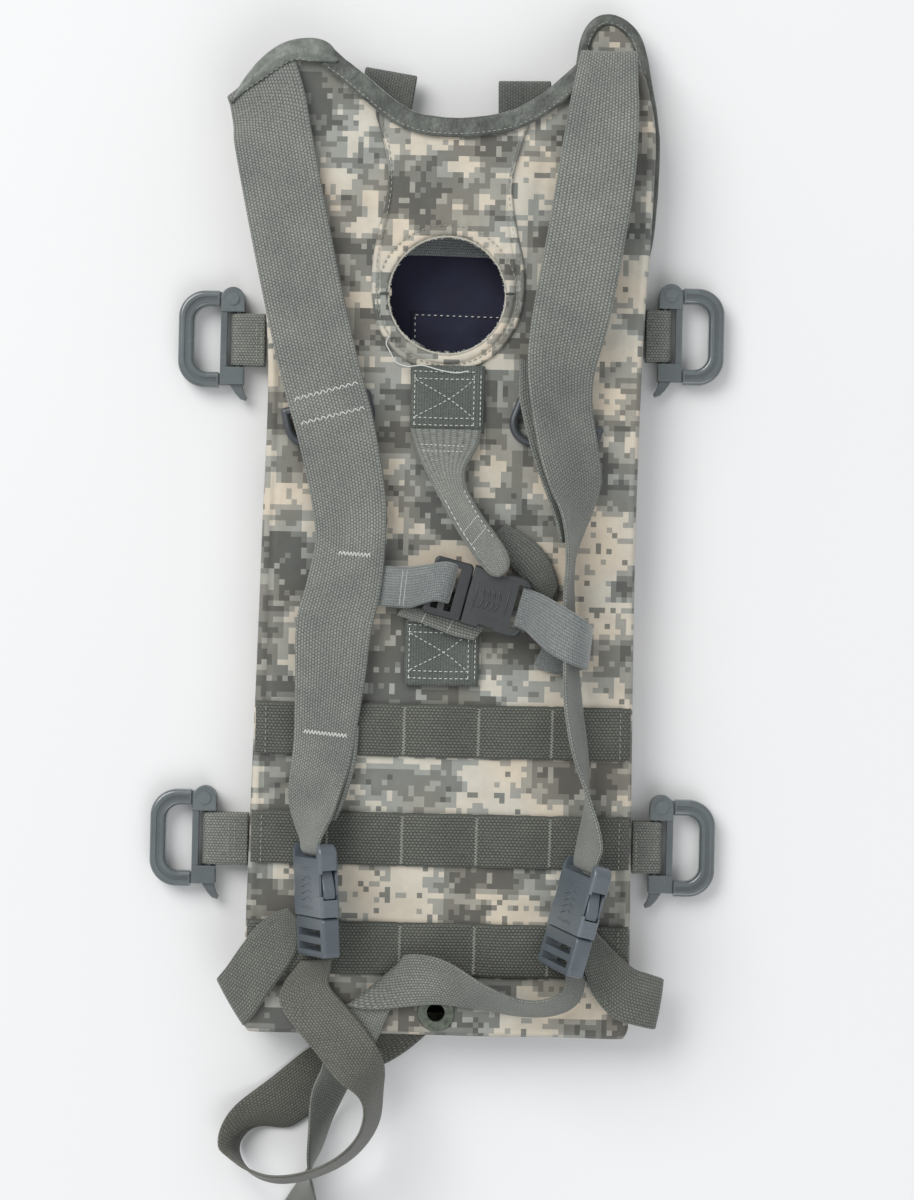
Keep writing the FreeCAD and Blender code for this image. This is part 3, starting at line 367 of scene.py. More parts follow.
class Shader:
    """A material built from nodes, with short calls for the nodes that the cloths and plastics share."""

    def __init__(self, name, roughness=0.8, metallic=0.0, specular=0.5, sheen=0.0, sheen_roughness=0.5,
                 coat=0.0, coat_roughness=0.2):
        self.material = bpy.data.materials.new(name)
        self.material.use_nodes = True
        self.tree = self.material.node_tree
        self.tree.nodes.clear()
        self.bsdf = self.tree.nodes.new("ShaderNodeBsdfPrincipled")
        out = self.tree.nodes.new("ShaderNodeOutputMaterial")
        self.link(self.bsdf.outputs[0], out.inputs[0])
        self.bsdf.inputs["Roughness"].default_value = roughness
        self.bsdf.inputs["Metallic"].default_value = metallic
        self.bsdf.inputs["Specular IOR Level"].default_value = specular
        self.bsdf.inputs["Sheen Weight"].default_value = sheen
        self.bsdf.inputs["Sheen Roughness"].default_value = sheen_roughness
        self.bsdf.inputs["Coat Weight"].default_value = coat
        self.bsdf.inputs["Coat Roughness"].default_value = coat_roughness

    def link(self, a, b):
        self.tree.links.new(a, b)

    def node(self, kind, values=(), **settings):
        n = self.tree.nodes.new("ShaderNode" + kind)
        for key, value in settings.items():
            setattr(n, key, value)
        for i, value in enumerate(values):
            if value is None:
                continue
            if hasattr(value, "is_linked"):
                self.link(value, n.inputs[i])
            else:
                n.inputs[i].default_value = value
        return n

    def math(self, operation, *values):
        return self.node("Math", values, operation=operation).outputs[0]

    def vector(self, operation, *values):
        return self.node("VectorMath", values, operation=operation).outputs[0]

    def cloth_uv(self):
        """The sheet's own coordinates, in millimetres along and across the cloth."""
        uv = self.node("UVMap", uv_map="cloth").outputs[0]
        return self.vector("MULTIPLY", uv, (1000.0, 1000.0, 1000.0))

    def place(self):
        """Places in the object's own space, in millimetres."""
        at = self.node("TexCoord").outputs["Object"]
        return self.vector("MULTIPLY", at, (1000.0, 1000.0, 1000.0))

    def noise(self, vector, scale, detail=2.0, roughness=0.5):
        n = self.node("TexNoise")
        self.link(vector, n.inputs["Vector"])
        n.inputs["Scale"].default_value = scale
        n.inputs["Detail"].default_value = detail
        n.inputs["Roughness"].default_value = roughness
        return n.outputs[0]

    def mix(self, factor, a, b, blend="MIX"):
        n = self.node("Mix", data_type="RGBA", blend_type=blend)
        for socket, value in ((n.inputs[0], factor), (n.inputs[6], a), (n.inputs[7], b)):
            if hasattr(value, "is_linked"):
                self.link(value, socket)
            elif isinstance(value, (int, float)):
                socket.default_value = value
            else:
                socket.default_value = (*value, 1.0)
        return n.outputs[2]

    def ramp(self, factor, stops, constant=False):
        n = self.node("ValToRGB")
        self.link(factor, n.inputs[0])
        ramp = n.color_ramp
        if constant:
            ramp.interpolation = "CONSTANT"
        while len(ramp.elements) < len(stops):
            ramp.elements.new(0.5)
        for element, (at, colour) in zip(ramp.elements, stops):
            element.position = at
            element.color = (*colour, 1.0)
        return n.outputs[0]

    def colour(self, socket):
        self.link(socket, self.bsdf.inputs["Base Color"])

    def bump(self, height, distance_mm, strength=1.0):
        n = self.node("Bump")
        n.inputs["Strength"].default_value = strength
        n.inputs["Distance"].default_value = distance_mm * MM
        self.link(height, n.inputs["Height"])
        self.link(n.outputs[0], self.bsdf.inputs["Normal"])

    def rough(self, socket):
        self.link(socket, self.bsdf.inputs["Roughness"])


def srgb(r, g, b):
    """A colour given as it looks on a screen, 0 to 255."""
    f = lambda c: c / 12.92 if c <= 0.04045 else ((c + 0.055) / 1.055) ** 2.4
    return tuple(f(c / 255) for c in (r, g, b))


def weave_height(s, uv, across, along):
    """Raised columns of yarn, crossed by rows that are set back by half a row in every other column."""
    parts = s.node("SeparateXYZ", (uv,))
    u, v = parts.outputs[0], parts.outputs[1]
    column = s.math("DIVIDE", u, across)
    odd = s.math("MODULO", s.math("FLOOR", column), 2.0)
    ridge = s.math("ABSOLUTE", s.math("SINE", s.math("MULTIPLY", column, math.pi)))
    turn = s.math("ADD", s.math("DIVIDE", v, along), s.math("MULTIPLY", odd, 0.5))
    row = s.math("ABSOLUTE", s.math("SINE", s.math("MULTIPLY", turn, math.pi)))
    return s.math("MULTIPLY", s.math("POWER", ridge, 0.6), s.math("ADD", s.math("MULTIPLY", row, 0.78), 0.22))


def camouflage():
    """Digital camouflage printed on plain weave, in square blocks."""
    s = Shader("camouflage", roughness=0.88, specular=0.25, sheen=0.12, sheen_roughness=0.6)
    uv = s.cloth_uv()
    pixel = s.vector("DIVIDE", uv, (2.55, 2.55, 2.55))
    cell = s.vector("ADD", s.vector("FLOOR", pixel), (0.5, 0.5, 0.0))
    wide = s.noise(s.vector("MULTIPLY", cell, (0.050, 0.085, 1.0)), 1.0, 2.0, 0.55)
    medium = s.noise(s.vector("MULTIPLY", cell, (0.19, 0.26, 1.0)), 1.0, 1.0, 0.5)
    fine = s.noise(s.vector("MULTIPLY", cell, (0.62, 0.62, 1.0)), 1.0, 0.0, 0.5)
    value = s.math("ADD", s.math("MULTIPLY", wide, 0.66), s.math("MULTIPLY", medium, 0.27))
    value = s.math("ADD", value, s.math("MULTIPLY", fine, 0.07))
    dark, mid = srgb(92, 92, 87), srgb(120, 120, 113)
    pale, sand = srgb(151, 151, 143), srgb(197, 190, 175)
    colour = s.ramp(value, [(0.0, dark), (0.447, mid), (0.492, pale), (0.524, sand)], constant=True)
    moved = s.vector("ADD", s.vector("MULTIPLY", cell, (0.47, 0.43, 1.0)), (31.0, 17.0, 0.0))
    speck = s.noise(moved, 1.0, 0.0, 0.5)
    colour = s.mix(s.math("GREATER_THAN", speck, 0.70), colour, mid)
    colour = s.mix(s.math("LESS_THAN", speck, 0.31), colour, pale)
    tint = s.noise(s.vector("MULTIPLY", cell, (0.06, 0.06, 1.0)), 1.0, 1.0, 0.5)
    warm = s.ramp(tint, [(0.40, (0.94, 0.97, 1.0)), (0.60, (1.0, 0.955, 0.92))])
    colour = s.mix(1.0, colour, warm, "MULTIPLY")
    weave = weave_height(s, uv, 0.55, 0.55)
    # painted shade in the weave's grooves and a painted highlight on the yarn tops
    shade = s.ramp(weave, [(0.15, (0.86, 0.86, 0.86)), (0.75, (1.03, 1.03, 1.03))])
    wear = s.ramp(s.noise(uv, 0.09, 4.0, 0.65), [(0.3, (0.90, 0.90, 0.90)), (0.7, (1.06, 1.06, 1.06))])
    colour = s.mix(1.0, s.mix(1.0, colour, shade, "MULTIPLY"), wear, "MULTIPLY")
    s.colour(colour)
    s.bump(weave, 0.10, 0.6)
    return s.material


def webbing(name, base, across=1.3, along=1.5, sheen=0.22, contrast=0.62, roughness=0.7, depth=0.2):
    """Nylon webbing: raised yarn columns along its length, with painted shade in the grooves between them and
    a painted highlight on their tops.
    """
    s = Shader(name, roughness=roughness, specular=0.35, sheen=sheen, sheen_roughness=0.45)
    uv = s.cloth_uv()
    weave = weave_height(s, uv, across, along)
    # painted shade in the weave's grooves and a painted highlight on the yarn tops
    low = tuple(c * (1 - contrast) for c in base)
    high = tuple(min(1.0, c * (1 + contrast * 0.75)) for c in base)
    colour = s.ramp(weave, [(0.10, low), (0.50, base), (0.95, high)])
    fade = s.ramp(s.noise(uv, 0.035, 3.0, 0.6), [(0.3, (0.80, 0.81, 0.82)), (0.7, (1.16, 1.15, 1.13))])
    fibre = s.ramp(s.noise(s.vector("MULTIPLY", uv, (1.0, 2.2, 1.0)), 0.55, 4.0, 0.8),
                   [(0.34, (0.66, 0.66, 0.66)), (0.66, (1.30, 1.30, 1.30))])
    s.colour(s.mix(1.0, s.mix(1.0, colour, fade, "MULTIPLY"), fibre, "MULTIPLY"))
    s.bump(weave, depth, 1.0)
    return s.material


def binding_cloth(name, base):
    """Close grosgrain tape with a slight shine."""
    s = Shader(name, roughness=0.46, specular=0.5, sheen=0.5, sheen_roughness=0.35)
    at = s.place()
    rows = s.noise(at, 1.5, 3.0, 0.7)
    crease = s.noise(at, 0.16, 3.0, 0.65)
    cloud = s.noise(at, 0.11, 4.0, 0.7)
    low = tuple(c * 0.62 for c in base)
    high = tuple(c * 1.55 for c in base)
    s.colour(s.ramp(cloud, [(0.34, low), (0.50, base), (0.66, high)]))
    s.bump(s.math("ADD", s.math("MULTIPLY", rows, 0.12), crease), 1.3, 0.8)
    return s.material


def lining_cloth():
    s = Shader("lining", roughness=0.75, specular=0.3, sheen=0.15)
    at = s.place()
    cloud = s.noise(at, 0.03, 3.0, 0.6)
    s.colour(s.ramp(cloud, [(0.3, srgb(20, 22, 38)), (0.7, srgb(34, 37, 60))]))
    s.bump(s.noise(at, 1.6, 2.0, 0.5), 0.10, 0.5)
    return s.material


def thread_material(name, base):
    s = Shader(name, roughness=0.6, specular=0.4, sheen=0.3)
    at = s.place()
    s.colour(s.ramp(s.noise(at, 0.5, 2.0, 0.6), [(0.3, tuple(c * 0.75 for c in base)), (0.7, base)]))
    s.bump(s.noise(at, 6.0, 1.0, 0.5), 0.05, 0.6)
    return s.material


def moulded(name, base, roughness, coat=0.2):
    """Moulded nylon or acetal: fine grain, faint flow marks, and paler colour in noisy patches where edges
    stand out.
    """
    s = Shader(name, roughness=roughness, specular=0.5, coat=coat, coat_roughness=0.25)
    at = s.place()
    flow = s.noise(at, 0.05, 3.0, 0.55)
    colour = s.ramp(flow, [(0.3, tuple(c * 0.86 for c in base)), (0.7, tuple(c * 1.12 for c in base))])
    edge = s.node("NewGeometry").outputs["Pointiness"]
    # paler colour on the edges that stand out, in noisy patches
    edge_share = s.ramp(edge, [(0.50, (0.0, 0.0, 0.0)), (0.60, (1.0, 1.0, 1.0))])
    pale_edge = s.math("MULTIPLY", edge_share, s.math("MULTIPLY", s.noise(at, 0.6, 3.0, 0.7), 0.35))
    s.colour(s.mix(pale_edge, colour, tuple(min(1.0, c * 2.4 + 0.05) for c in base)))
    s.rough(s.math("ADD", s.math("MULTIPLY", s.noise(at, 0.35, 3.0, 0.6), 0.22), roughness - 0.11))
    s.bump(s.noise(at, 2.6, 3.0, 0.6), 0.05, 0.5)
    return s.material


def metal(name, base):
    s = Shader(name, roughness=0.35, metallic=0.7)
    at = s.place()
    low, high = tuple(c * 0.7 for c in base), tuple(c * 1.4 for c in base)
    s.colour(s.ramp(s.noise(at, 0.4, 3.0, 0.6), [(0.3, low), (0.7, high)]))
    s.rough(s.math("ADD", s.math("MULTIPLY", s.noise(at, 0.8, 3.0, 0.6), 0.3), 0.2))
    return s.material


CAMO = camouflage()
STRAP_CLOTH = webbing("strap_webbing", srgb(108, 111, 105))
WIDE_CLOTH = webbing("shoulder_webbing", srgb(110, 113, 108), across=1.35, along=1.55, contrast=0.62)
ROW_CLOTH = webbing("row_webbing", srgb(80, 82, 76), across=1.4, along=1.8, contrast=0.70, sheen=0.12,
                    depth=0.26)
DARK_CLOTH = webbing("dark_webbing", srgb(88, 91, 86), contrast=0.45)
# a darker copy of the strap webbing for the left tail, which lies in shade: painted shade
SHADED_TAIL_CLOTH = webbing("tail_webbing", srgb(90, 91, 84), contrast=0.62)
ANCHOR_CLOTH = webbing("anchor_webbing", srgb(92, 94, 88), contrast=0.62)
SATIN_CLOTH = webbing("satin_webbing", srgb(108, 113, 112), across=1.3, along=0.9, sheen=0.5, contrast=0.45,
                      roughness=0.45)
GRIP_CLOTH = webbing("grip_webbing", srgb(116, 119, 113), across=1.5, along=1.0, contrast=0.38)
BINDING = binding_cloth("binding", srgb(72, 76, 71))
CAP_CLOTH = binding_cloth("cap_cloth", srgb(98, 103, 97))
LINING = lining_cloth()
THREAD = thread_material("thread", srgb(206, 208, 202))
FRAY_CLOTH = thread_material("frayed_cloth", srgb(176, 172, 158))
PATCH_CLOTH = webbing("patch_webbing", srgb(82, 87, 83), across=1.3, along=1.0, contrast=0.42, sheen=0.12)
GREY_THREAD = thread_material("grey_thread", srgb(150, 152, 142))
DARK_THREAD = thread_material("dark_thread", srgb(70, 70, 64))
HOOK_PLASTIC = moulded("hook_plastic", srgb(76, 84, 86), roughness=0.24, coat=0.9)
BUCKLE_PLASTIC = moulded("buckle_plastic", srgb(76, 84, 90), roughness=0.34, coat=0.35)
DARK_PLASTIC = moulded("dark_plastic", srgb(40, 43, 44), roughness=0.42, coat=0.1)
RING_PLASTIC = moulded("ring_plastic", srgb(58, 62, 66), roughness=0.38)
EYELET_METAL = metal("eyelet_metal", srgb(92, 98, 88))


# ---------------------------------------------------------------- free tails

# Routes of the two free strap ends: the place in metres, then the heading and roll of the strap's width in
# degrees, and that width in millimetres.
TAIL_LEFT = [
    (-0.0570, -0.2005, 0.0360, 8, 20, 16.0),
    (-0.0623, -0.2102, 0.0335, 12, 4, 22.0),
    (-0.0632, -0.2176, 0.0352, 20, 0, 25.4),
    (-0.0541, -0.2279, 0.0375, 34, 0, 25.4),
    (-0.0443, -0.2390, 0.0375, 38, -3, 25.4),
    (-0.0359, -0.2502, 0.0382, 28, -22, 25.4),
    (-0.0285, -0.2636, 0.0322, 12, -66, 25.4),
    (-0.0292, -0.2804, 0.0325, -10, -73, 25.4),
    (-0.0402, -0.2942, 0.0367, -46, -74, 25.4),
    (-0.0574, -0.3025, 0.0395, -74, -74, 25.4),
    (-0.0755, -0.3069, 0.0317, -88, -74, 25.4),
    (-0.0893, -0.3042, 0.0185, -116, -80, 25.4),
    (-0.0965, -0.2958, 0.0132, -145, -98, 25.4),
    (-0.0959, -0.2890, 0.0110, -160, -132, 25.4),
    (-0.0881, -0.2819, 0.0046, -200, -160, 25.4),
    (-0.0755, -0.2755, 0.0019, -227, -178, 25.4),
    (-0.0590, -0.2613, 0.0010, -230, -180, 25.4),
    (-0.0426, -0.2487, 0.0010, -232, -180, 25.4),
    (-0.0215, -0.2384, 0.0010, -180, -180, 36.0),
]
TAIL_RIGHT = [
    (0.0655, -0.2045, 0.0390, -14, -52, 16.0),
    (0.0665, -0.2130, 0.0400, -36, -58, 20.0),
    (0.0580, -0.2195, 0.0430, -66, -64, 25.4),
    (0.0420, -0.2215, 0.0434, -84, -66, 25.4),
    (0.0220, -0.2160, 0.0416, -92, -56, 25.4),
    (0.0030, -0.2092, 0.0394, -96, -30, 25.4),
    (-0.0100, -0.2088, 0.0364, -92, -8, 25.4),
    (-0.0200, -0.2105, 0.0352, -108, 0, 27.0),
    (-0.0290, -0.2115, 0.0350, -139, 0, 34.0),
    (-0.0290, -0.2120, 0.0329, -140, 0, 33.0),
    (-0.0335, -0.2225, 0.0323, -175, 0, 25.4),
    (-0.0380, -0.2350, 0.0320, -170, 0, 25.4),
    (-0.0403, -0.2432, 0.0316, -164, 3, 25.4),
    (-0.0435, -0.2500, 0.0220, -158, 12, 23.5),
    (-0.0490, -0.2620, 0.0145, -162, 34, 24.4),
    (-0.0540, -0.2800, 0.0118, -168, 62, 24.4),
    (-0.0575, -0.2990, 0.0120, -170, 80, 24.4),
    (-0.0610, -0.3120, 0.0116, -172, 110, 24.4),
    (-0.0640, -0.3250, 0.0080, -174, 142, 24.4),
    (-0.0670, -0.3380, 0.0030, -176, 168, 24.4),
    (-0.0690, -0.3500, 0.0010, -178, 180, 24.4),
]


def route_points(route):
    """Points along the smooth NURBS line whose control points are the route's, in metres."""
    curve = bpy.data.curves.new("route", "CURVE")
    curve.dimensions = "3D"
    spline = curve.splines.new("NURBS")
    spline.points.add(len(route) - 1)
    for point, row in zip(spline.points, route):
        point.co = (*row[:3], 1.0)
    spline.order_u = 3
    spline.use_endpoint_u = True
    spline.resolution_u = 12
    holder = bpy.data.objects.new("route", curve)
    bpy.context.scene.collection.objects.link(holder)
    bpy.context.view_layer.update()
    graph = bpy.context.evaluated_depsgraph_get()
    mesh = bpy.data.meshes.new_from_object(holder.evaluated_get(graph))
    points = np.array([v.co[:] for v in mesh.vertices])
    bpy.data.objects.remove(holder)
    bpy.data.curves.remove(curve)
    bpy.data.meshes.remove(mesh)
    return points


def station_number(i, count, controls):
    """Which station a point of the NURBS line lies beside."""
    spans = controls - 2
    u = spans * i / (count - 1)
    if u < 0.5:
        return 2 * u
    if u > spans - 0.5:
        return controls - 1 - 2 * (spans - u)
    return u + 0.5


def tail_path(route):
    """The NURBS line in millimetres, with the strap's heading, roll and width beside each point."""
    points = route_points(route)
    turns = np.array(route)[:, 3:]
    rows = []
    for i, p in enumerate(points):
        rows.append([*(p / MM), *sample(turns, station_number(i, len(points), len(route)))])
    return np.array(rows)


def make_tail(name, route, node, cloth):
    strap = Strap(tail_path(route), ripple=0.0, smooth=False)
    obj = finish_piece(strap.build(name), PACK_BODY, cloth, node, slot="webbing")
    [tuple(c * MM) for c in strap.centre]
    return strap


make_camera()
# the left tail gets the darker copy of the webbing: painted shade
LEFT_TAIL = make_tail("tail_left", TAIL_LEFT, "strap_tail_left", SHADED_TAIL_CLOTH)
make_tail("tail_right", TAIL_RIGHT, "strap_tail_right", STRAP_CLOTH)


# ---------------------------------------------------------------- pouch

LEFT_SIDE = [(-92, -227.5), (-92, -200), (-90, -100), (-88, 0), (-86.8, 80), (-92, 140),
             (-99.5, 175), (-106, 204)]
RIGHT_SIDE = [(92, -227.5), (92, -200), (91, -100), (90.5, 0), (92, 90), (95, 150),
              (96, 195), (91, 222)]
BASE_LINE = [(-92, -227.5), (-91.9, -231.5), (-90.4, -235.2), (-86.8, -236.6), (-60, -236.6), (-30, -236.3),
             (0, -236.4), (30, -236.6), (60, -236.3), (86.8, -236.6), (90.4, -235.2), (91.9, -231.5),
             (92, -227.5)]
NECK = [(-57, 230), (-50, 225.5), (-40, 217.5), (-30, 209.5), (-20, 203.5), (-10, 201.3), (2, 200.8),
        (14, 202), (26, 204.6), (36, 209.5), (45, 216), (53, 223.5), (60, 230)]
TOP_LINE = [(-106, 204), (-101, 215.5), (-92, 227), (-81.5, 233.6), (-69, 235.8), (-61.5, 233.8)] + NECK \
    + [(66, 232.4), (74, 233), (84, 230.3), (91, 222)]
PORT = np.array([-2.0, 116.5])
PORT_RADIUS = 28.3
DRAIN_INSET = 11.5    # from the base to the drain hole's middle
ROWS = (-91, -143, -195)
TACKS = (-54, -18, 17.5, 52.5)


def bump_line(x, y, a, b, width):
    """1 on the line from a to b, falling to 0 over a width."""
    a, b = np.array(a), np.array(b)
    p = np.array([x, y]) - a
    d = b - a
    t = min(max(float(p @ d) / float(d @ d), 0.0), 1.0)
    gap = math.hypot(*(p - d * t))
    return math.exp(-(gap / width) ** 2) * min(1.0, 4 * t * (1 - t) + 0.35)


SIDE_TABLE = {-1: dense(LEFT_SIDE), 1: dense(RIGHT_SIDE)}


def side_x(side, y):
    table = SIDE_TABLE[side]
    return float(np.interp(y, table[:, 1], table[:, 0]))


CREASES = [
    ((-88, -124), (-66, -115), 2.2, -1.3), ((-90, -60), (-70, -72), 3.0, -0.7),
    ((-30, 66), (-22, 20), 5.0, -0.8), ((30, 74), (24, 24), 5.0, -0.7),
    ((-24, -2), (22, 34), 6.0, -0.5), ((-88, 42), (-62, 58), 3.5, -0.8),
    ((88, 96), (60, 70), 3.2, -0.8), ((90, 20), (72, 4), 3.0, -0.7), ((90, -46), (70, -34), 3.2, -0.7),
    ((-36, 100), (-62, 84), 3.0, 0.5), ((34, 98), (60, 92), 3.0, 0.5),
    ((-60, -112), (-20, -120), 4.5, 0.7), ((10, -118), (60, -114), 5.0, 0.6),
    ((-50, -168), (-10, -166), 5.0, 0.6), ((20, -166), (74, -170), 4.5, 0.7),
    ((-46, 190), (-34, 130), 2.6, -0.6), ((44, 190), (36, 128), 2.6, -0.6),
]


def pack_z(x, y):
    """Height of the wearer's panel: slack, creased cloth, drawn tight under the rows and round the port."""
    slack = 1.0
    for row in ROWS:
        slack *= 1.0 - 0.75 * math.exp(-((y - row) / 15.0) ** 4)
    port = math.hypot(x - PORT[0], y - PORT[1])
    slack *= smooth_step(port, 26.0, 60.0) * 0.8 + 0.2
    z = PACK_TOP - 0.9 + 0.9 * wobble(x, y, 3.0, 95.0) * slack
    z += 0.95 * wobble(x, y * 0.7, 9.0, 26.0) * slack
    z += 0.34 * wobble(x * 0.8, y, 15.0, 9.0) * slack
    for a, b, width, depth in CREASES:
        z += 1.3 * depth * bump_line(x, y, a, b, width)
    return min(z, PACK_TOP + 0.25 + 0.35 * math.tanh(max(z - PACK_TOP - 0.25, 0.0)))


def edge_drop(d):
    """How far the panel falls at a distance from its edge: a sewn groove, then a rolled seam."""
    groove = -0.75 * math.exp(-((d - 5.6) / 1.0) ** 2)
    roll = 0.35 * math.exp(-((d - 2.8) / 1.7) ** 2)
    fall = 0.0
    if d < 3.2:
        fall = -(3.2 - math.sqrt(max(3.2 ** 2 - (3.2 - d) ** 2, 0.0))) * 1.35
    return groove + roll + fall


def patch_points(rows, cols):
    """A grid over the pouch's outline (a Coons patch) with its rows from the base to the neck."""
    low, high = spread(BASE_LINE, cols), spread(TOP_LINE, cols)
    left, right = spread(LEFT_SIDE, rows), spread(RIGHT_SIDE, rows)
    u = np.linspace(0, 1, cols)[None, :, None]
    v = np.linspace(0, 1, rows)[:, None, None]
    sides = (1 - u) * left[:, None, :] + u * right[:, None, :]
    ends = (1 - v) * low[None, :, :] + v * high[None, :, :]
    corners = (1 - u) * (1 - v) * low[0] + u * (1 - v) * low[-1] + (1 - u) * v * high[0] + u * v * high[-1]
    return sides + ends - corners


def edge_distance(grid):
    """Distance of each grid point to the outline."""
    rim = np.concatenate([grid[0], grid[:, -1], grid[-1][::-1], grid[:, 0][::-1]])
    flat = grid.reshape(-1, 2)
    out = np.empty(len(flat))
    for i in range(0, len(flat), 2000):
        gap = flat[i:i + 2000, None, :] - rim[None, :, :]
        out[i:i + 2000] = np.sqrt((gap ** 2).sum(axis=2)).min(axis=1)
    return out.reshape(grid.shape[:2])


PANEL_ROWS, PANEL_COLS = ((270, 118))


def make_back_panel():
    grid = patch_points(PANEL_ROWS, PANEL_COLS)
    edge = edge_distance(grid)
    def place(i, j):
        (x, y), d = grid[i, j], edge[i, j]
        pucker = 0.30 * math.sin((x + y) * 0.72 + 3 * wobble(x, y, 1.0, 40.0))
        pucker *= math.exp(-((d - 7.5) / 4.0) ** 2)
        return (x, y, pack_z(x, y) + edge_drop(d) + pucker), (x, y)
    points, uv = sheet_points(PANEL_ROWS, PANEL_COLS, place)
    # the hole's rim is drawn onto a circle, so that the opening is round
    away = grid - PORT
    gap = np.linalg.norm(away, axis=2)
    near = (gap > PORT_RADIUS - 0.6) & (gap < PORT_RADIUS + 1.8)
    points[near, :2] = PORT + away[near] / gap[near][:, None] * (PORT_RADIUS + 0.7)
    drain_gap = np.linalg.norm(grid - np.array([0.0, BASE_Y + DRAIN_INSET]), axis=2)

    def keep(i, j):
        in_port = min(gap[i, j], gap[i + 1, j], gap[i, j + 1], gap[i + 1, j + 1]) < PORT_RADIUS - 0.6
        in_drain = max(drain_gap[i, j], drain_gap[i + 1, j + 1]) < 6.0
        return not in_port and not in_drain

    obj = grid_object("back_panel_cloth", points, uv, 2.6, keep)
    finish_piece(obj, PACK_BODY, CAMO, "back_panel", slot="camouflage_cloth")


def make_front_panel():
    rows, cols = 110, 48
    grid = patch_points(rows, cols)
    edge = edge_distance(grid)
    def place(i, j):
        x, y = grid[i, j]
        roll = max(0.0, 1.0 - edge[i, j] / 2.4) ** 2 * 1.6
        return (x, y, 4.6 - roll + 0.25 * wobble(x, y, 40.0, 30.0)), (x + 400.0, y + 400.0)
    points, uv = sheet_points(rows, cols, place)
    obj = grid_object("front_panel_cloth", points, uv, 3.4)
    finish_piece(obj, PACK_BODY, CAMO, "front_panel", slot="camouflage_cloth")


def make_gusset():
    """The side strip: it bellies out a little between its two seams, with folds across it."""
    rim = np.concatenate([dense(LEFT_SIDE)[::-1], dense(BASE_LINE)[1:-1], dense(RIGHT_SIDE)])
    rim = even(np.column_stack([rim, np.zeros(len(rim))]), 2.4)
    ahead = unit(np.gradient(rim, axis=0))
    out = np.stack([ahead[:, 1], -ahead[:, 0], np.zeros(len(rim))], axis=1)
    run = run_along(rim)
    levels = np.linspace(27.2, 2.6, 15)
    def place(i, j):
        z, t = levels[j], j / (len(levels) - 1)
        fold = 0.8 * wobble(run[i], z * 1.6, 77.0, 14.0) + 0.5 * wobble(run[i] + z * 0.8, 5.0, 33.0, 5.5)
        inset = -1.6 + math.sin(math.pi * t) * (0.9 + fold) - 0.5 * math.exp(-((t - 0.5) / 0.05) ** 2)
        return rim[i] + out[i] * inset + np.array([0, 0, z]), (run[i] + 150.0, z)
    points, uv = sheet_points(len(rim), len(levels), place)
    obj = grid_object("gusset_cloth", points, uv, 1.0)
    finish_piece(obj, PACK_BODY, CAMO, "side_gusset", slot="camouflage_cloth")
    seam = Thread(0.24)
    for level in (24, 5.6):
        def stitch_at(d):
            k = min(max(int(np.searchsorted(run, d)), 0), len(rim) - 1)
            return rim[k] - out[k] * 0.35 + np.array([0, 0, level]), out[k]
        seam.seam(stitch_at, run[-1] - 4, pitch=3.2)
    seam.build("gusset_stitches", PACK_BODY, GREY_THREAD)


def panel_seam(thread, points, above=0.2, pitch=2.9, fill=0.66, z=None):
    """A row of stitches along a line on the panel."""
    line = flat_line(points, 0.8)
    run = run_along(line)
    def place(d):
        x, y = np.interp(d, run, line[:, 0]), np.interp(d, run, line[:, 1])
        ground = z(x, y) if z else pack_z(x, y)
        return np.array([x, y, ground + above]), np.array([0, 0, 1.0])
    thread.seam(place, run[-1], pitch, fill)


def panel_tack(thread, a, b, above, height, pitch, z):
    """A bar tack from a to b, above a ground of height z(x, y)."""
    a, b = np.array(a, float), np.array(b, float)
    d = unit(b - a)
    across = np.array([-d[1], d[0]])
    def place(distance, offset):
        p = a + d * distance + across * offset
        return np.array([*p, z(*p) + above]), np.array([0, 0, 1.0])
    thread.tack(place, float(np.linalg.norm(b - a)), height, pitch)


# ---------------------------------------------------------------- port panel and neck

OVERLAY = [(-38.4, 204), (-37, 198.7), (-33.2, 187), (-31.4, 173), (-32.3, 160), (-35.5, 147),
           (-37.8, 133), (-38, 117), (-34.6, 101), (-26, 88.6), (-14, 81.4), (-2, 79.6), (10, 81.6),
           (22, 88.8), (31, 101), (34.9, 116), (34.6, 131), (32, 143), (29.2, 157), (28, 170),
           (30.2, 183), (34, 195.5), (36, 204)]


def ray_reach(polygon, origin, angle):
    """Distance from origin to the polygon's edge along an angle."""
    d = np.array([math.cos(angle), math.sin(angle)])
    best = 1e9
    for a, b in zip(polygon, np.roll(polygon, -1, axis=0)):
        e = b - a
        det = d[0] * -e[1] + d[1] * e[0]
        if abs(det) < 1e-9:
            continue
        q = a - origin
        t = (q[0] * -e[1] + q[1] * e[0]) / det
        s_ = (d[0] * q[1] - d[1] * q[0]) / det
        if t > 0 and -1e-6 <= s_ <= 1 + 1e-6:
            best = min(best, t)
    return best


def port_point(angle, radius, z):
    """A place at an angle and a distance from the port's axis."""
    return np.array([*(PORT + radius * np.array([math.cos(angle), math.sin(angle)])), z])


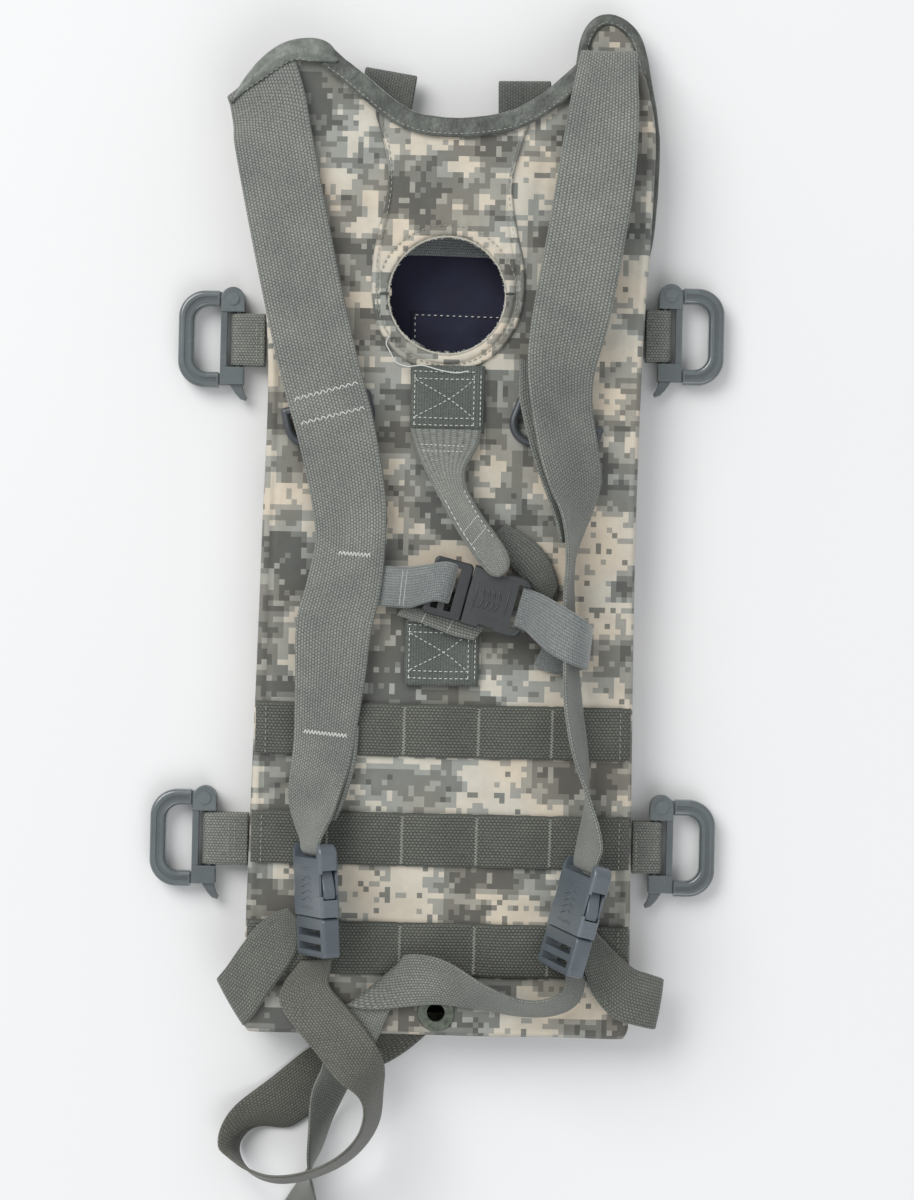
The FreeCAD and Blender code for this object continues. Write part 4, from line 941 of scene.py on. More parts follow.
def make_port_panel():
    """The keyhole overlay: a ring round the port and a tongue up to the neck, with folded, stitched edges."""
    low_neck = [(x, y - 4.0) for x, y in dense(NECK)[::-1] if -38.0 < x < 36.0]
    outline = np.array([tuple(p) for p in dense(OVERLAY, 8)] + low_neck)
    turns, steps = ((300, 34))
    rays = []
    for i in range(turns + 1):
        a = 2 * math.pi * i / turns + math.radians(-90)
        inner = PORT_RADIUS - 0.1 + 0.25 * wobble(math.cos(a) * 9, math.sin(a) * 9, 1.0, 3.0)
        rays.append((a, inner, ray_reach(outline, PORT, a)))

    def place(i, j):
        a, inner, reach = rays[i]
        t = j / (steps - 1)
        r = inner + (reach - inner) * t
        x, y = PORT + r * np.array([math.cos(a), math.sin(a)])
        e, q = reach - r, r - inner
        z = pack_z(x, y) + 1.25
        z += 0.55 * math.exp(-((e - 1.6) / 1.3) ** 2) - 0.55 * math.exp(-((e - 4.1) / 0.8) ** 2)
        z -= 1.2 * max(0.0, 1 - e / 0.8)
        z += 0.45 * math.exp(-((q - 2.0) / 1.5) ** 2) - 0.45 * math.exp(-((q - 4.9) / 0.8) ** 2)
        z -= 1.7 * max(0.0, 1 - q / 1.1) ** 2
        pull = 0.22 * math.sin(a * 34 + 2 * wobble(x, y, 2.0, 25.0)) * math.exp(-((q - 6.0) / 3.0) ** 2)
        z += pull + 0.35 * wobble(x, y, 60.0, 16.0) * smooth_step(q, 4.0, 16.0)
        return (x, y, z), (x + 230.0, y + 90.0)

    points, uv = sheet_points(turns + 1, steps, place)
    obj = grid_object("port_overlay", points, uv, 1.0)
    edit_mesh(obj.data, lambda bm: bmesh.ops.remove_doubles(bm, verts=bm.verts, dist=0.00002))
    finish_piece(obj, PACK_BODY, CAMO, "port_panel", slot="camouflage_cloth")
    make_port_edge()
    stitches = Thread(0.26)
    circle = [port_point(a, 33.4, 0.0)[:2] for a in np.linspace(-0.5 * math.pi, 1.5 * math.pi, 40)]
    panel_seam(stitches, circle, above=1.25, pitch=2.7)
    for part, shift in ((OVERLAY[1:9], -0.1), (OVERLAY[14:22], 0.0)):
        line = [(x * 0.94 + shift, y if y > 150 else PORT[1] + (y - PORT[1]) * 0.93) for x, y in part]
        panel_seam(stitches, line, above=1.5)
    stitches.build("port_stitches", PACK_BODY, GREY_THREAD)
    notch = Thread(0.75)
    for a, b in (((-34.4, 116.6), (-29.4, 116.8)), ((25.6, 117.6), (30.2, 117.9))):
        notch.stitch((*a, PACK_TOP + 1.1), (*b, PACK_TOP + 0.9), (0, 0, 1))
    notch.build("port_notches", PACK_BODY, DARK_THREAD)


def make_port_edge():
    """The hole's raw edge: loose fibres round a thin pale rim."""
    rng = random.Random(4)
    fray = Thread(0.16)
    for _ in range(520):
        a = rng.uniform(0, 2 * math.pi)
        r = PORT_RADIUS + rng.uniform(-0.2, 0.5)
        start = port_point(a, r, PACK_TOP - 0.9 + rng.uniform(0, 0.9))
        b = a + rng.uniform(-0.09, 0.09)
        q = r - rng.uniform(0.3, 1.5)
        end = port_point(b, q, start[2] - rng.uniform(-0.3, 1.4))
        fray.stitch(start, end, (0, 0, 1), rng.uniform(0.07, 0.15))
    fray.build("port_fray", PACK_BODY, THREAD)
    corners, rings = 240, []
    for k in range(corners):
        a = 2 * math.pi * k / corners
        n = np.array([math.cos(a), math.sin(a), 0.0])
        r = PORT_RADIUS - 0.25 + 0.2 * wobble(n[0] * 30, n[1] * 30, 3.0, 4.0)
        z = PACK_TOP - 0.75 + 0.25 * wobble(n[0] * 30, n[1] * 30, 8.0, 6.0)
        rings.append(round_section(port_point(a, r, z), n, np.array([0, 0, 1.0]), 0.55, 8))
    finish_piece(tube_object("port_rim", rings, np.arange(corners) * 0.75, loop=True), PACK_BODY, FRAY_CLOTH)


def offset_line(points, distance):
    """A line moved to its right by a distance."""
    d = dense(points)
    ahead = unit(np.gradient(d, axis=0))
    return d + np.stack([ahead[:, 1], -ahead[:, 0]], axis=1) * distance


def thin_out(points, count):
    pick = np.linspace(0, len(points) - 1, count).round().astype(int)
    return [tuple(points[k]) for k in pick]


def make_neck():
    """The neck's binding: a tape laid along the neck's edge, wavering a little in width."""
    centre = thin_out(offset_line(NECK, 4.5), 26)
    line = flat_line([(-61, 228.5)] + centre[1:-1] + [(63.5, 228)], 1.4)
    ahead = unit(np.gradient(line, axis=0))
    side = np.stack([ahead[:, 1], -ahead[:, 0], np.zeros(len(line))], axis=1)
    run = run_along(line)
    rings = []
    for along, c, across_way in zip(run, line, side):
        w = 9.6 + 0.35 * wobble(along, 0.0, 8.0, 11.0)
        ring = []
        for across, up in strap_section(w, 2.4, columns=6):
            x, y, _ = c + across_way * across
            rise = 2.2 + up + 0.9 * (across / w + 0.5) ** 2 + 0.12 * wobble(along, across, 5.0, 7.0)
            ring.append((x, y, pack_z(x, y) + rise))
        rings.append(ring)
    obj = tube_object("neck_binding_tape", rings, run)
    finish_piece(obj, PACK_BODY, BINDING, "neck_binding", slot="binding_cloth")
    seam = Thread(0.25)
    panel_seam(seam, thin_out(offset_line(NECK, 7.7), 26), above=4.25, pitch=2.6)
    seam.build("neck_stitches", PACK_BODY, GREY_THREAD)


def lofted(name, outer, inner, z_of, uv_shift, thickness, material, *nodes, slot=None):
    """A sheet between two lines, with its height from z_of(share, x, y), share 0 on the inner line."""
    rows, cols = 60, 26
    a, b = spread(inner, rows), spread(outer, rows)
    def place(i, j):
        t = j / (cols - 1)
        x, y = a[i] + (b[i] - a[i]) * t
        return (x, y, z_of(t, x, y)), (x + uv_shift, y + uv_shift)
    points, uv = sheet_points(rows, cols, place)
    if np.cross(points[0, 1] - points[0, 0], points[1, 0] - points[0, 0])[2] < 0:
        points, uv = points[::-1].copy(), uv[::-1].copy()
    finish_piece(grid_object(name, points, uv, thickness), PACK_BODY, material, *nodes, slot=slot)


def make_wing_cap():
    """Bound cloth over the left shoulder's seam."""
    outer = [(-107.2, 206), (-101.5, 216.5), (-92.7, 227.6), (-82, 235.2), (-70, 237.6), (-61, 235.4),
             (-55, 228)]
    inner = [(-106.4, 205), (-99.8, 211.5), (-92, 217), (-84, 222.8), (-77, 226.6), (-68, 226),
             (-57.5, 225.5)]
    def z_of(t, x, y):
        fold = 0.6 * wobble(x, y, 4.0, 12.0)
        crown = 0.9 * math.sin(math.pi * min(t * 1.5, 1.0))
        return PACK_TOP + 3.6 + fold * (1 - t) + crown - 7.5 * max(0.0, t - 0.45) ** 1.6
    lofted("wing_cap", outer, inner, z_of, 0.0, 1.2, CAP_CLOTH, "tube_flap_left", slot="binding_cloth")
    seam = Thread(0.24)
    panel_seam(seam, inner[1:-1], above=0.0, z=lambda x, y: z_of(0.05, x, y) + 0.15, pitch=2.8)
    seam.build("wing_stitches", PACK_BODY, GREY_THREAD)


LOOP_PATH = [(59.8, 221, 14), (60.6, 233, 12.6), (63, 244.5, 12.4), (67.6, 250.8, 12.4),
             (73.4, 252.4, 12.4), (80, 249.8, 12.4), (85.8, 243.6, 12.6), (89.2, 234, 13),
             (91.4, 222, 14.2), (94, 208, 15.4), (95.6, 194, 17), (95.8, 178, 19), (95.2, 160, 20.6),
             (93.8, 143, 20.8), (90, 126, 18.6)]


def make_tube_loop():
    """Bound loop above the right shoulder; its binding runs on down the side as a folded edge."""
    rows = even(dense(LOOP_PATH), 1.6)
    ahead = unit(np.gradient(rows, axis=0))
    side = unit(np.cross(ahead, (0, 0, 1)))
    up = unit(np.cross(side, ahead))
    run = run_along(rows)
    soften = lambda value: math.copysign(abs(value) ** 0.75, value)
    rings = []
    for c, s_, u, along in zip(rows, side, up, run):
        narrow = smooth_step(along / run[-1], 0.55, 1.0)
        w = (5.8 - 2.2 * narrow) * (1 + 0.05 * wobble(along, 0, 2, 9.0))
        h = 3.4 - 0.8 * narrow
        rings.append([c + s_ * (w / 2 * soften(math.cos(t))) + u * (h / 2 * soften(math.sin(t)))
                      for t in np.linspace(0, 2 * math.pi, 15)[:-1]])
    obj = tube_object("tube_loop_binding", rings, run)
    finish_piece(obj, PACK_BODY, BINDING, "tube_flap_binding", slot="binding_cloth")
    seam = Thread(0.22)
    def place(d):
        k = int(np.interp(d, run, np.arange(len(run))))
        return rows[k] + side[k] * 1.5 + np.array([0, 0, 1.45]), np.array([0, 0, 1.0])
    seam.seam(place, run[-1] - 6, 2.8)
    seam.build("loop_stitches", PACK_BODY, GREY_THREAD)
    inner = [(60.8, 219), (61.2, 232), (63.6, 243.2), (67.8, 249.6), (73.4, 251.6)]
    outer = [(91.6, 219), (88.8, 232), (85.4, 242.6), (79.8, 249), (73.4, 251.6)]
    z_of = lambda t, x, y: 12.0 + 0.8 * math.sin(math.pi * t) + 0.5 * wobble(x, y, 8.0, 9.0)
    lofted("tube_loop_cloth", outer, inner, z_of, 610.0, 1.0, CAMO, "tube_flap_right",
           slot="camouflage_cloth")
    # the gusset's slack, folded over beside the right shoulder
    outer = [(92.4, 218), (94.2, 204), (94.8, 188), (94.4, 172), (93.6, 156), (92.6, 140)]
    inner = [(84.6, 218), (85.4, 204), (85, 188), (84.2, 172), (84.6, 156), (87, 140)]
    def z_of(t, x, y):
        return 25.6 - 2.4 * t ** 2 + 1.3 * math.sin(t * 7.0 + 0.05 * y) + 0.7 * wobble(x, y * 0.5, 12.0, 10.0)
    lofted("gusset_fold", outer, inner, z_of, 320.0, 1.0, CAMO)


def folded_webbing(name, x, y, heading, profile, cloth, *nodes, **shape):
    """Webbing folded along its length, from a profile of (distance ahead, height) at a place and heading."""
    h = math.radians(heading)
    forward = np.array([-math.sin(h), math.cos(h)])
    path = [(*(np.array([x, y]) + forward * d), z, heading, 0, WEBBING) for d, z in profile]
    return lay_strap(name, path, cloth, *nodes, slot="dark_webbing", **shape)


def make_hangers():
    """Two loops of dark webbing behind the neck."""
    seam = Thread(0.24)
    profile = [(-12, 6.4), (-4, 6.3), (6, 6.3), (11, 6.4), (13.6, 7), (14.4, 8.3), (13.6, 9.6),
               (11, 10.2), (6, 10.4), (-4, 10.8), (-12, 12)]
    for side, x, y, heading, top, nodes in (("left", -34.0, 208.5, -9.0, 224.5, ["hanger_loops"]),
                                            ("right", 33.5, 205.0, 1.0, 221.0, [])):
        reach = [(d * (top - y + 1.0) / 14.4, z) for d, z in profile]
        strap = folded_webbing("hanger_" + side, x, y, heading, reach, DARK_CLOTH, *nodes,
                               step=1.0, ripple=0.2)
        for back in (25.3, 25.7):
            seam.seam(lambda d: strap.at(strap.along[-1] - back, -0.85 + d / 14.0, 0.1), 22.0, 2.4)
    seam.build("hanger_stitches", PACK_BODY, GREY_THREAD)


# ---------------------------------------------------------------- inside the pouch

def make_inside():
    """The dark lining, its pocket and the reservoir's band, seen through the port."""
    def ground(x, y):
        return 6.2 + 0.9 * wobble(x, y, 5.0, 28.0) + 0.4 * wobble(x, y, 9.0, 8.0)

    def laid(name, node, rows, cols, corner, size, height):
        def place(i, j):
            x, y = corner[0] + size[0] * j / (cols - 1), corner[1] + size[1] * i / (rows - 1)
            return (x, y, height(x, y)), (x, y)
        points, uv = sheet_points(rows, cols, place)
        return finish_piece(grid_object(name, points, uv, 0.8), PACK_BODY, LINING, node, slot="lining_cloth")

    lining = laid("lining_cloth", "inner_lining", 100, 44, (-80, -228), (160, 416), ground)
    pocket = laid("pocket_cloth", "inner_pocket", 48, 50, (-19, 40), (81, 70),
                  lambda x, y: ground(x, y) + 1.5 + 0.5 * wobble(x, y, 20.0, 14.0))
    seam = Thread(0.3)
    for line in ([(-17.3, 108.8), (24, 108.2), (58, 108)], [(-17.3, 108), (-17, 42)]):
        panel_seam(seam, line, z=lambda x, y: ground(x, y) + 1.8, pitch=3.0, fill=0.5)
    seam.build("pocket_stitches", PACK_BODY, THREAD)
    line = ((-40, 149.4, 9), (-14, 150, 9.6), (14, 149.6, 9.4), (40, 149.8, 9))
    lay_strap("band_webbing", [(*p, 90, 0, WEBBING) for p in line], SATIN_CLOTH, "reservoir_band", ripple=0.3)


# ---------------------------------------------------------------- webbing rows and handle

def make_rows():
    """The three rows of attachment webbing, sewn down at their tacks and raised between them."""
    thread = Thread(0.24)
    for name, yc in zip(("upper", "middle", "lower"), ROWS):
        x0, x1 = side_x(-1, yc) + 1.0, side_x(1, yc) - 1.0
        stops = [x0 + 2, *TACKS, x1 - 2]
        n = int((x1 - x0) / 1.6)
        along = [x0 + (x1 - x0) * k / n for k in range(n + 1)]
        rings = []
        for x in along:
            gap = min(abs(x - stop) for stop in stops)
            rise = 0.9 * smooth_step(gap, 0.0, 12.0)
            end = 2.2 * (1 - smooth_step(min(x - x0, x1 - x), 0.0, 3.0))
            ring = []
            for across, up in strap_section(WEBBING - 0.5 * (gap < 2), 1.6, columns=10):
                y = yc + 0.35 * wobble(x, yc, 3.0, 22.0) + across
                lift = rise * (1 - 0.55 * (2 * across / WEBBING) ** 2)
                ring.append((x, y, pack_z(x, yc) * 0.5 + pack_z(x, y) * 0.5 + 1.05 + lift + up - end))
            rings.append(ring)
        obj = tube_object(f"row_{name}", rings, along)
        finish_piece(obj, PACK_BODY, ROW_CLOTH, f"webbing_row_{name}", slot="dark_webbing")
        level = lambda px, py: pack_z(px, yc)
        for x in TACKS:
            panel_tack(thread, (x, yc - 11.6), (x + 0.2, yc + 11.6), 1.95, 1.7, 0.75, level)
        for x in (x0 + 5.0, x1 - 5.0):
            panel_seam(thread, [(x, yc - 12.0), (x, yc), (x, yc + 12.0)], above=2.3, z=level)
    thread.build("row_tacks", PACK_BODY, GREY_THREAD)


def make_patches():
    """The handle's two sewn ends, each with its box and cross of stitches."""
    thread = Thread(0.25)
    x0, x1 = -17.0, 15.4
    for name, y1, y0, nodes in (("upper", 83.0, 51.0, ["handle_patches"]), ("lower", -37.6, -69.4, [])):
        steps = int((y1 - y0) / 1.2)
        along = [y0 + (y1 - y0) * k / steps for k in range(steps + 1)]
        rings = []
        for y in along:
            end = 0.5 * (1 - smooth_step(min(y - y0, y1 - y), 0.0, 1.6))
            section = strap_section(35.4 + 0.5 * wobble(y, 0.0, 6.0, 9.0), 2.4, columns=10)
            rings.append([(x, y, pack_z(x, y) + 2.3 + 0.3 * wobble(x, y, 30.0, 10.0) + up - end)
                          for x, up in ((across - 0.8, up) for across, up in section)])
        obj = tube_object(f"handle_patch_{name}", rings, along)
        finish_piece(obj, PACK_BODY, PATCH_CLOTH, *nodes, slot="webbing")
        middle = (y0 + y1) / 2
        lines = [[(x0, y), ((x0 + x1) / 2, y - 0.2), (x1, y)]
                 for y in (y1 - 3.0, y1 - 6.4, y0 + 3.6, y0 + 7.0)]
        lines += [[(x, y0 + 3.4), (x, middle), (x, y1 - 3.0)] for x in (x0 + 0.6, x1 - 0.4, x1 - 3.6)]
        high, low = y1 - 7.0, y0 + 7.4
        lines += [[(x0 + 1, a), (0.0, middle), (x1 - 4, b)] for a, b in ((high, low), (low, high))]
        for line in lines:
            panel_seam(thread, line, above=3.75, pitch=2.5)
    thread.build("handle_stitches", PACK_BODY, THREAD)


def make_handle():
    """The grip, folded along its middle and standing up off the pouch, and its lower foot."""
    grip = lay_strap("handle_grip", [
        (-1.2, 52.5, 33.4, 0, 0, 34, 2.2), (-1, 46, 33.9, -2, 0, 31, 2.2), (-1, 39, 35.6, 2, 0, 25, 2.4),
        (0, 31, 38.6, 12, 0, 18, 3.2), (3.5, 21.5, 42, 28, 0, 14.2, 4.2), (10.5, 9, 44, 37, 0, 14.2, 4.6),
        (18, -1.5, 45.4, 38, 0, 14.6, 4.6), (23.4, -9, 46.6, 38, 0, 14, 4.4),
        (26.2, -13.4, 46.9, 38, 0, 11, 4), (27.6, -15.8, 46.9, 38, 0, 5, 3.2)],
        GRIP_CLOTH, "carry_handle", step=1.3, ripple=0.25, seed=3.0)
    lay_strap("handle_foot", [
        (22, -11.5, 40, 40, 0, 12, 2), (17, -15, 35, 34, 0, 15, 2), (10, -22, 32.4, 26, 0, 22, 2),
        (0.5, -31, 32.3, 8, 0, 30, 2), (-1, -39, 33.2, 0, 0, 34, 2)], GRIP_CLOTH, step=1.4)
    tacks = Thread(0.24)
    total = grip.along[-1]
    for d in (20, 27):
        tacks.seam(lambda t: grip.at(total - d - 0.25 * t, -0.7 + t * 0.14, 0.05), 10.0, 0.9, 0.8)
    for edge in (0.72, -0.72):
        tacks.seam(lambda t: grip.at(34.0 + t, edge, 0.0), total - 48.0, 2.8)
    for d in (8, 11):
        tacks.seam(lambda t: grip.at(d, -0.8 + t * 0.055, 0.05), 28.0, 2.6)
    tacks.build("grip_stitches", PACK_BODY, THREAD)


# ---------------------------------------------------------------- shoulder and sternum straps

def over(stations):
    """Stations with undersides z above the pouch, as places in the frame."""
    return [(x, y, ON_PACK + WEB / 2 + z, *rest) for x, y, z, *rest in stations]


def zigzag(thread, strap, along, a, b, width, pitch):
    """Zigzag stitches across a strap, from share a of its half width to share b."""
    total = int(abs(b - a) * 18.7 / pitch)
    for k in range(total):
        t0, t1 = a + (b - a) * k / total, a + (b - a) * (k + 1) / total
        sign = -1 if k % 2 else 1
        p, u = strap.at(along + sign * width / 2, t0, 0.05)
        q, _ = strap.at(along - sign * width / 2, t1, 0.05)
        thread.stitch(p, q, u)


def make_shoulders():
    """Both shoulder straps, each with the second layer that shows beside it, and their stitches."""
    left = lay_strap("shoulder_left", over([
        (-94, 220, -1, 38, 0, 37.6), (-91.6, 214.5, 1.2, 36, 0, 38), (-88.5, 203, 2.6, 28, 0, 38),
        (-86, 188, 4.5, 16, 0, 37.5), (-78, 150, 8, 12, 0, 37.5), (-69.5, 112, 9.6, 12, 0, 37.5),
        (-61, 78, 10.6, 16, 0, 37.5), (-53, 50, 10.4, 14, 2, 37), (-46.5, 18, 7.5, 5, 3, 35.5),
        (-45.2, -2, 7.2, -2, 0, 33.5), (-48, -24, 8, -6, -2, 35.5), (-52, -42, 8, -6, -4, 36),
        (-53.6, -70, 7, -3, -8, 33), (-56, -100, 6.5, -6, -8, 28.5), (-60, -122, 9.5, -6, 10, 25),
        (-60.8, -136.5, 15.5, 4, 48, 23.5), (-61, -143, 19.2, 3.5, 65, 23.5),
        (-60.6, -146.6, 19.6, 3.5, 65, 23.5), (-59, -149.6, 18.6, 3.5, 65, 23.5)]),
        WIDE_CLOTH, "shoulder_strap_left", crosses="socket_left", thickness=2.0, cup=-0.5, ripple=0.5,
        seed=11.0)
    lay_strap("shoulder_left_fold", over([
        (-46, -88, 4.2, -12, -6, 14), (-48.5, -104, 3.4, -16, -6, 17), (-53, -120, 5.6, -14, 4, 18),
        (-56.5, -133, 11.5, 0, 36, 18)]), WIDE_CLOTH, crosses="socket_left", thickness=1.8, ripple=0.3)
    right = lay_strap("shoulder_right", over([
        (72.6, 227, -6.4, 0, 0, 25), (72.8, 231.5, -4.2, 0, 0, 25.6), (72.6, 233.2, -1.2, 0, 0, 26.4),
        (72.4, 231, 2, 0, 0, 27.4), (71.4, 218, 3.8, -2, 0, 30.6), (70.5, 205, 5, -3, 0, 33.5),
        (68, 178, 9, -8, 0, 36.5), (63.5, 146, 12, -12, 0, 37), (57.6, 112, 15.5, -14, -6, 37),
        (52.6, 84, 17, -10, -26, 36.5), (53, 64, 17.6, -2, -36, 36.5), (56.4, 45, 18, 2, -38, 36.5),
        (59.8, 28, 17.2, 5, -44, 35.5), (61, 12, 14.5, 8, -62, 30), (58.8, -8, 11.4, 4, -80, 24),
        (58.6, -30, 11.6, 0, -76, 21), (59.6, -52, 12.4, -4, -73, 22), (61.5, -76, 13, -8, -68, 23),
        (65.2, -100, 13.6, -6, -72, 24), (69.5, -122, 14, -8, -92, 24.4),
        (70.6, -140.5, 16.4, -14.5, -116, 23.8), (68.9, -148, 19.8, -14.5, -115, 23.6),
        (68.6, -151.2, 19.9, -14.5, -115, 23.6), (69, -154.4, 18.4, -14.5, -115, 23.4)]),
        WIDE_CLOTH, "shoulder_strap_right", crosses="socket_right", thickness=2.0, cup=-0.4, ripple=0.45,
        seed=21.0)
    lay_strap("shoulder_right_fold", over([
        (38.6, 84, 14, -20, -10, 12), (40.5, 66, 13.6, -8, -14, 15), (46, 48, 12.6, 6, -20, 17),
        (51.5, 30, 9.6, 10, -30, 17), (55, 14, 7.6, 8, -48, 14), (56.4, 0, 8.4, 4, -70, 12)]),
        WIDE_CLOTH, thickness=1.9, ripple=0.4, seed=5.0)
    white, low, thread = Thread(0.30), Thread(0.30), Thread(0.26)
    at = left.nearest(-57.5, 70.0)
    zigzag(white, left, at, -0.82, 0.85, 2.0, 1.5)
    zigzag(white, left, at + 12.0, -0.82, 0.85, 2.0, 1.5)
    zigzag(white, left, left.nearest(-45.5, -7.0), -0.3, 0.6, 2.2, 0.9)
    zigzag(low, left, left.nearest(-56.0, -92.0), -0.7, 0.7, 2.2, 1.0)
    zigzag(white, right, right.nearest(53.0, 64.0), -0.6, 0.75, 2.0, 1.4)
    zigzag(white, right, right.nearest(58.0, 51.0), -0.2, 0.75, 2.0, 1.4)
    top = left.nearest(-90.0, 208.0)
    for strap, start, width in ((left, top, 34.0), (right, 16.5, 26.0)):
        for along in (start, start + 4.0):
            thread.seam(lambda d: strap.at(along, -0.85 + d * 1.7 / width, 0.05), width, 2.8)
    thread.build("shoulder_stitches", PACK_BODY, GREY_THREAD)
    white.build("shoulder_zigzags", PACK_BODY, THREAD)
    cross_joint(low.build("shoulder_tacks", None, THREAD))


def make_sternum():
    """The chest strap's two sides, the loop behind it and its free tail."""
    left = lay_strap("sternum_left", over([
        (-62, -13, 0.6, 84, 0, 19.5), (-44, -18, 1.2, 84, 0, 19.5), (-31, -22, 4.2, 86, 0, 19.5),
        (-23, -22.8, 6.6, 85, 0, 19.5), (-16, -22.8, 9.6, 84, 0, 20), (-9.4, -21.4, 13.6, 78, 0, 20),
        (-2.5, -19.8, 14.9, 76, 0, 19.6), (1.4, -20.4, 14.6, 76, 0, 19.4), (3.4, -21, 12.2, 76, 0, 19.2)]),
        SATIN_CLOTH, "sternum_strap_left", crosses="plug_sternum", thickness=2.2, cup=-0.3, ripple=0.3,
        seed=31.0)
    sewn = Thread(0.25)
    for d in (31, 33.2, 44, 46.2):
        sewn.seam(lambda t: left.at(d, -0.86 + t * 0.088, 0.05), 19.0, 0.85, 0.8)
    cross_joint(sewn.build("sternum_tacks", None, THREAD))
    lay_strap("sternum_right", over([
        (35, -31, 10.8, 76, 0, 19.4), (40.6, -33, 11.6, 76, 0, 19.4), (46, -36.5, 16.5, 70, 6, 21),
        (54, -42, 23, 64, 8, 22.5), (62, -46.5, 23.6, 72, 0, 22), (66.6, -49, 18, 80, 0, 21),
        (68.6, -50.5, 10, 84, 0, 20), (67.6, -51, 3, 84, 0, 19), (64, -52, 1.2, 82, 0, 18.5),
        (56, -54, 1, 74, 0, 18), (45.5, -53, 0.8, 66, 0, 13)]),
        SATIN_CLOTH, "sternum_strap_right", thickness=2.0, ripple=0.3, seed=41.0, step=1.4)
    lay_strap("sternum_loop_webbing", over([
        (24, 4.5, 0.6, 40, 0, 12), (37, -6.5, 1.6, 48, 0, 17), (46.5, -17, 2, 54, 0, 15),
        (52.5, -25.5, 1, 66, 0, 9)]),
        DARK_CLOTH, "sternum_loop", slot="dark_webbing", thickness=1.8, ripple=0.4, seed=51.0)
    tail = lay_strap("sternum_tail_webbing", over([
        (-21, -34, 3.4, 60, 0, 5.5), (-7, -37, 4.6, 66, 0, 8), (6, -41, 5, 62, 0, 9.5),
        (17, -44, 4.6, 50, 0, 9)]),
        STRAP_CLOTH, "sternum_tail", thickness=1.7, ripple=0.4, seed=61.0, step=1.2)
    thread = Thread(0.25)
    for d in (12, 25):
        thread.seam(lambda t: tail.at(d, -0.8 + t * 0.24, 0.05), 7.0, 0.8, 0.8)
    thread.build("sternum_stitches", PACK_BODY, THREAD)


def make_anchors():
    """The straps from the lower seams to the plugs, each folded over its corner of the pouch."""
    left = [(-66, -181, 35, -40, 0, 14), (-70.5, -184.5, 34.6, -44, 0, 17.5), (-77, -193, 34, -48, 0, 23.5),
            (-86, -205.5, 33.4, -56, 0, 25.6), (-92.5, -215.5, 32.2, -58, 0, 26.2),
            (-96.4, -220.6, 29.8, -59, 0, 26.4), (-98, -222.6, 26.4, -59, 0, 26.2),
            (-97, -222, 22.6, -60, 0, 26), (-95, -221, 16.5, -74, 0, 24.5),
            (-92.2, -220, 12.5, -84, 0, 23.5)]
    right = [(70.5, -189, 35.4, 58, 0, 14), (73.5, -194, 34.8, 62, 0, 17), (80.5, -205, 34, 58, 0, 22.5),
             (89, -213.5, 33.4, 68, 0, 25.4), (98, -216.6, 31.6, 76, 0, 25.4),
             (105, -218.8, 27.4, 80, 0, 25), (106.4, -219.4, 23.6, 82, 0, 24.6),
             (103.6, -219.4, 19.6, 84, 0, 24.4), (97, -219.2, 13.8, 87, 0, 23.8),
             (92.4, -219, 10.6, 88, 0, 23.4)]
    for side, stations, seed in (("left", left, 71.0), ("right", right, 81.0)):
        lay_strap("anchor_" + side, stations, ANCHOR_CLOTH, "anchor_strap_" + side,
                  thickness=1.8, step=1.6, ripple=0.35, seed=seed, cup=-0.5)


def make_tail_details():
    thread = Thread(0.25)
    total = LEFT_TAIL.along[-1]
    for k in (10, 12.6):
        thread.seam(lambda d: LEFT_TAIL.at(total - k, -0.8 + d * 0.07, 0.05), 23.0, 0.9, 0.8)
    thread.build("tail_stitches", PACK_BODY, GREY_THREAD)


# ---------------------------------------------------------------- rings, hooks and buckles

# Each hook's side of the pouch and its place along it.
HOOKS = {"upper_left": (-1, 95), "upper_right": (1, 101), "lower_left": (-1, -146), "lower_right": (1, -146)}
HOOK_Z = 5.4


def make_keepers():
    """The webbing that holds each D-ring."""
    fold = ((9, 4.4), (4, 4.6), (0, 4.7), (-1.8, 4.1), (-2.7, 2.4), (-2.3, 1))
    profile = [(d, ON_PACK + z) for d, z in fold]
    for side, x, y, heading, nodes in (("left", -58.5, 64.0, 14.0, ["ring_keepers"]),
                                       ("right", 53.0, 60.0, -20.0, [])):
        folded_webbing("ring_keeper_" + side, x, y, heading, profile, DARK_CLOTH, *nodes,
                       thickness=0.9, step=0.8, ripple=0.1)


def make_tabs():
    """The webbing tab that each hook hangs on, wrapped round the hook's bar."""
    thread = Thread(0.25)
    for name, (side, y) in HOOKS.items():
        lo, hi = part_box("hook_tab_" + name)
        x_in, x_out = (lo.x / MM, hi.x / MM) if side > 0 else (hi.x / MM, lo.x / MM)
        bar_x = x_out - side * 3.75
        near_bar = bar_x - side * 5.0
        path = [(x_in, y, HOOK_Z + 3.9, 90, 0, 25.2), (near_bar, y, HOOK_Z + 3.3, 90, 0, 25.2)]
        for a in np.radians(np.linspace(90, -90, 9)):
            path.append((bar_x + side * 3.05 * math.cos(a), y, HOOK_Z + 3.05 * math.sin(a), 90, 0, 25.0))
        path += [(near_bar, y, HOOK_Z - 3.2, 90, 0, 25.2), (x_in, y, HOOK_Z - 3.2, 90, 0, 25.2)]
        strap = lay_strap("tab_" + name, path, STRAP_CLOTH, "hook_tab_" + name, step=0.9, ripple=0.1)
        reach = abs(bar_x - x_in) - 6.0
        for back in (3, 6):
            thread.seam(lambda d: strap.at(max(1.5, reach - back), -0.85 + d * 0.07, 0.05), 23.0, 2.4)
    thread.build("tab_stitches", PACK_BODY, GREY_THREAD)


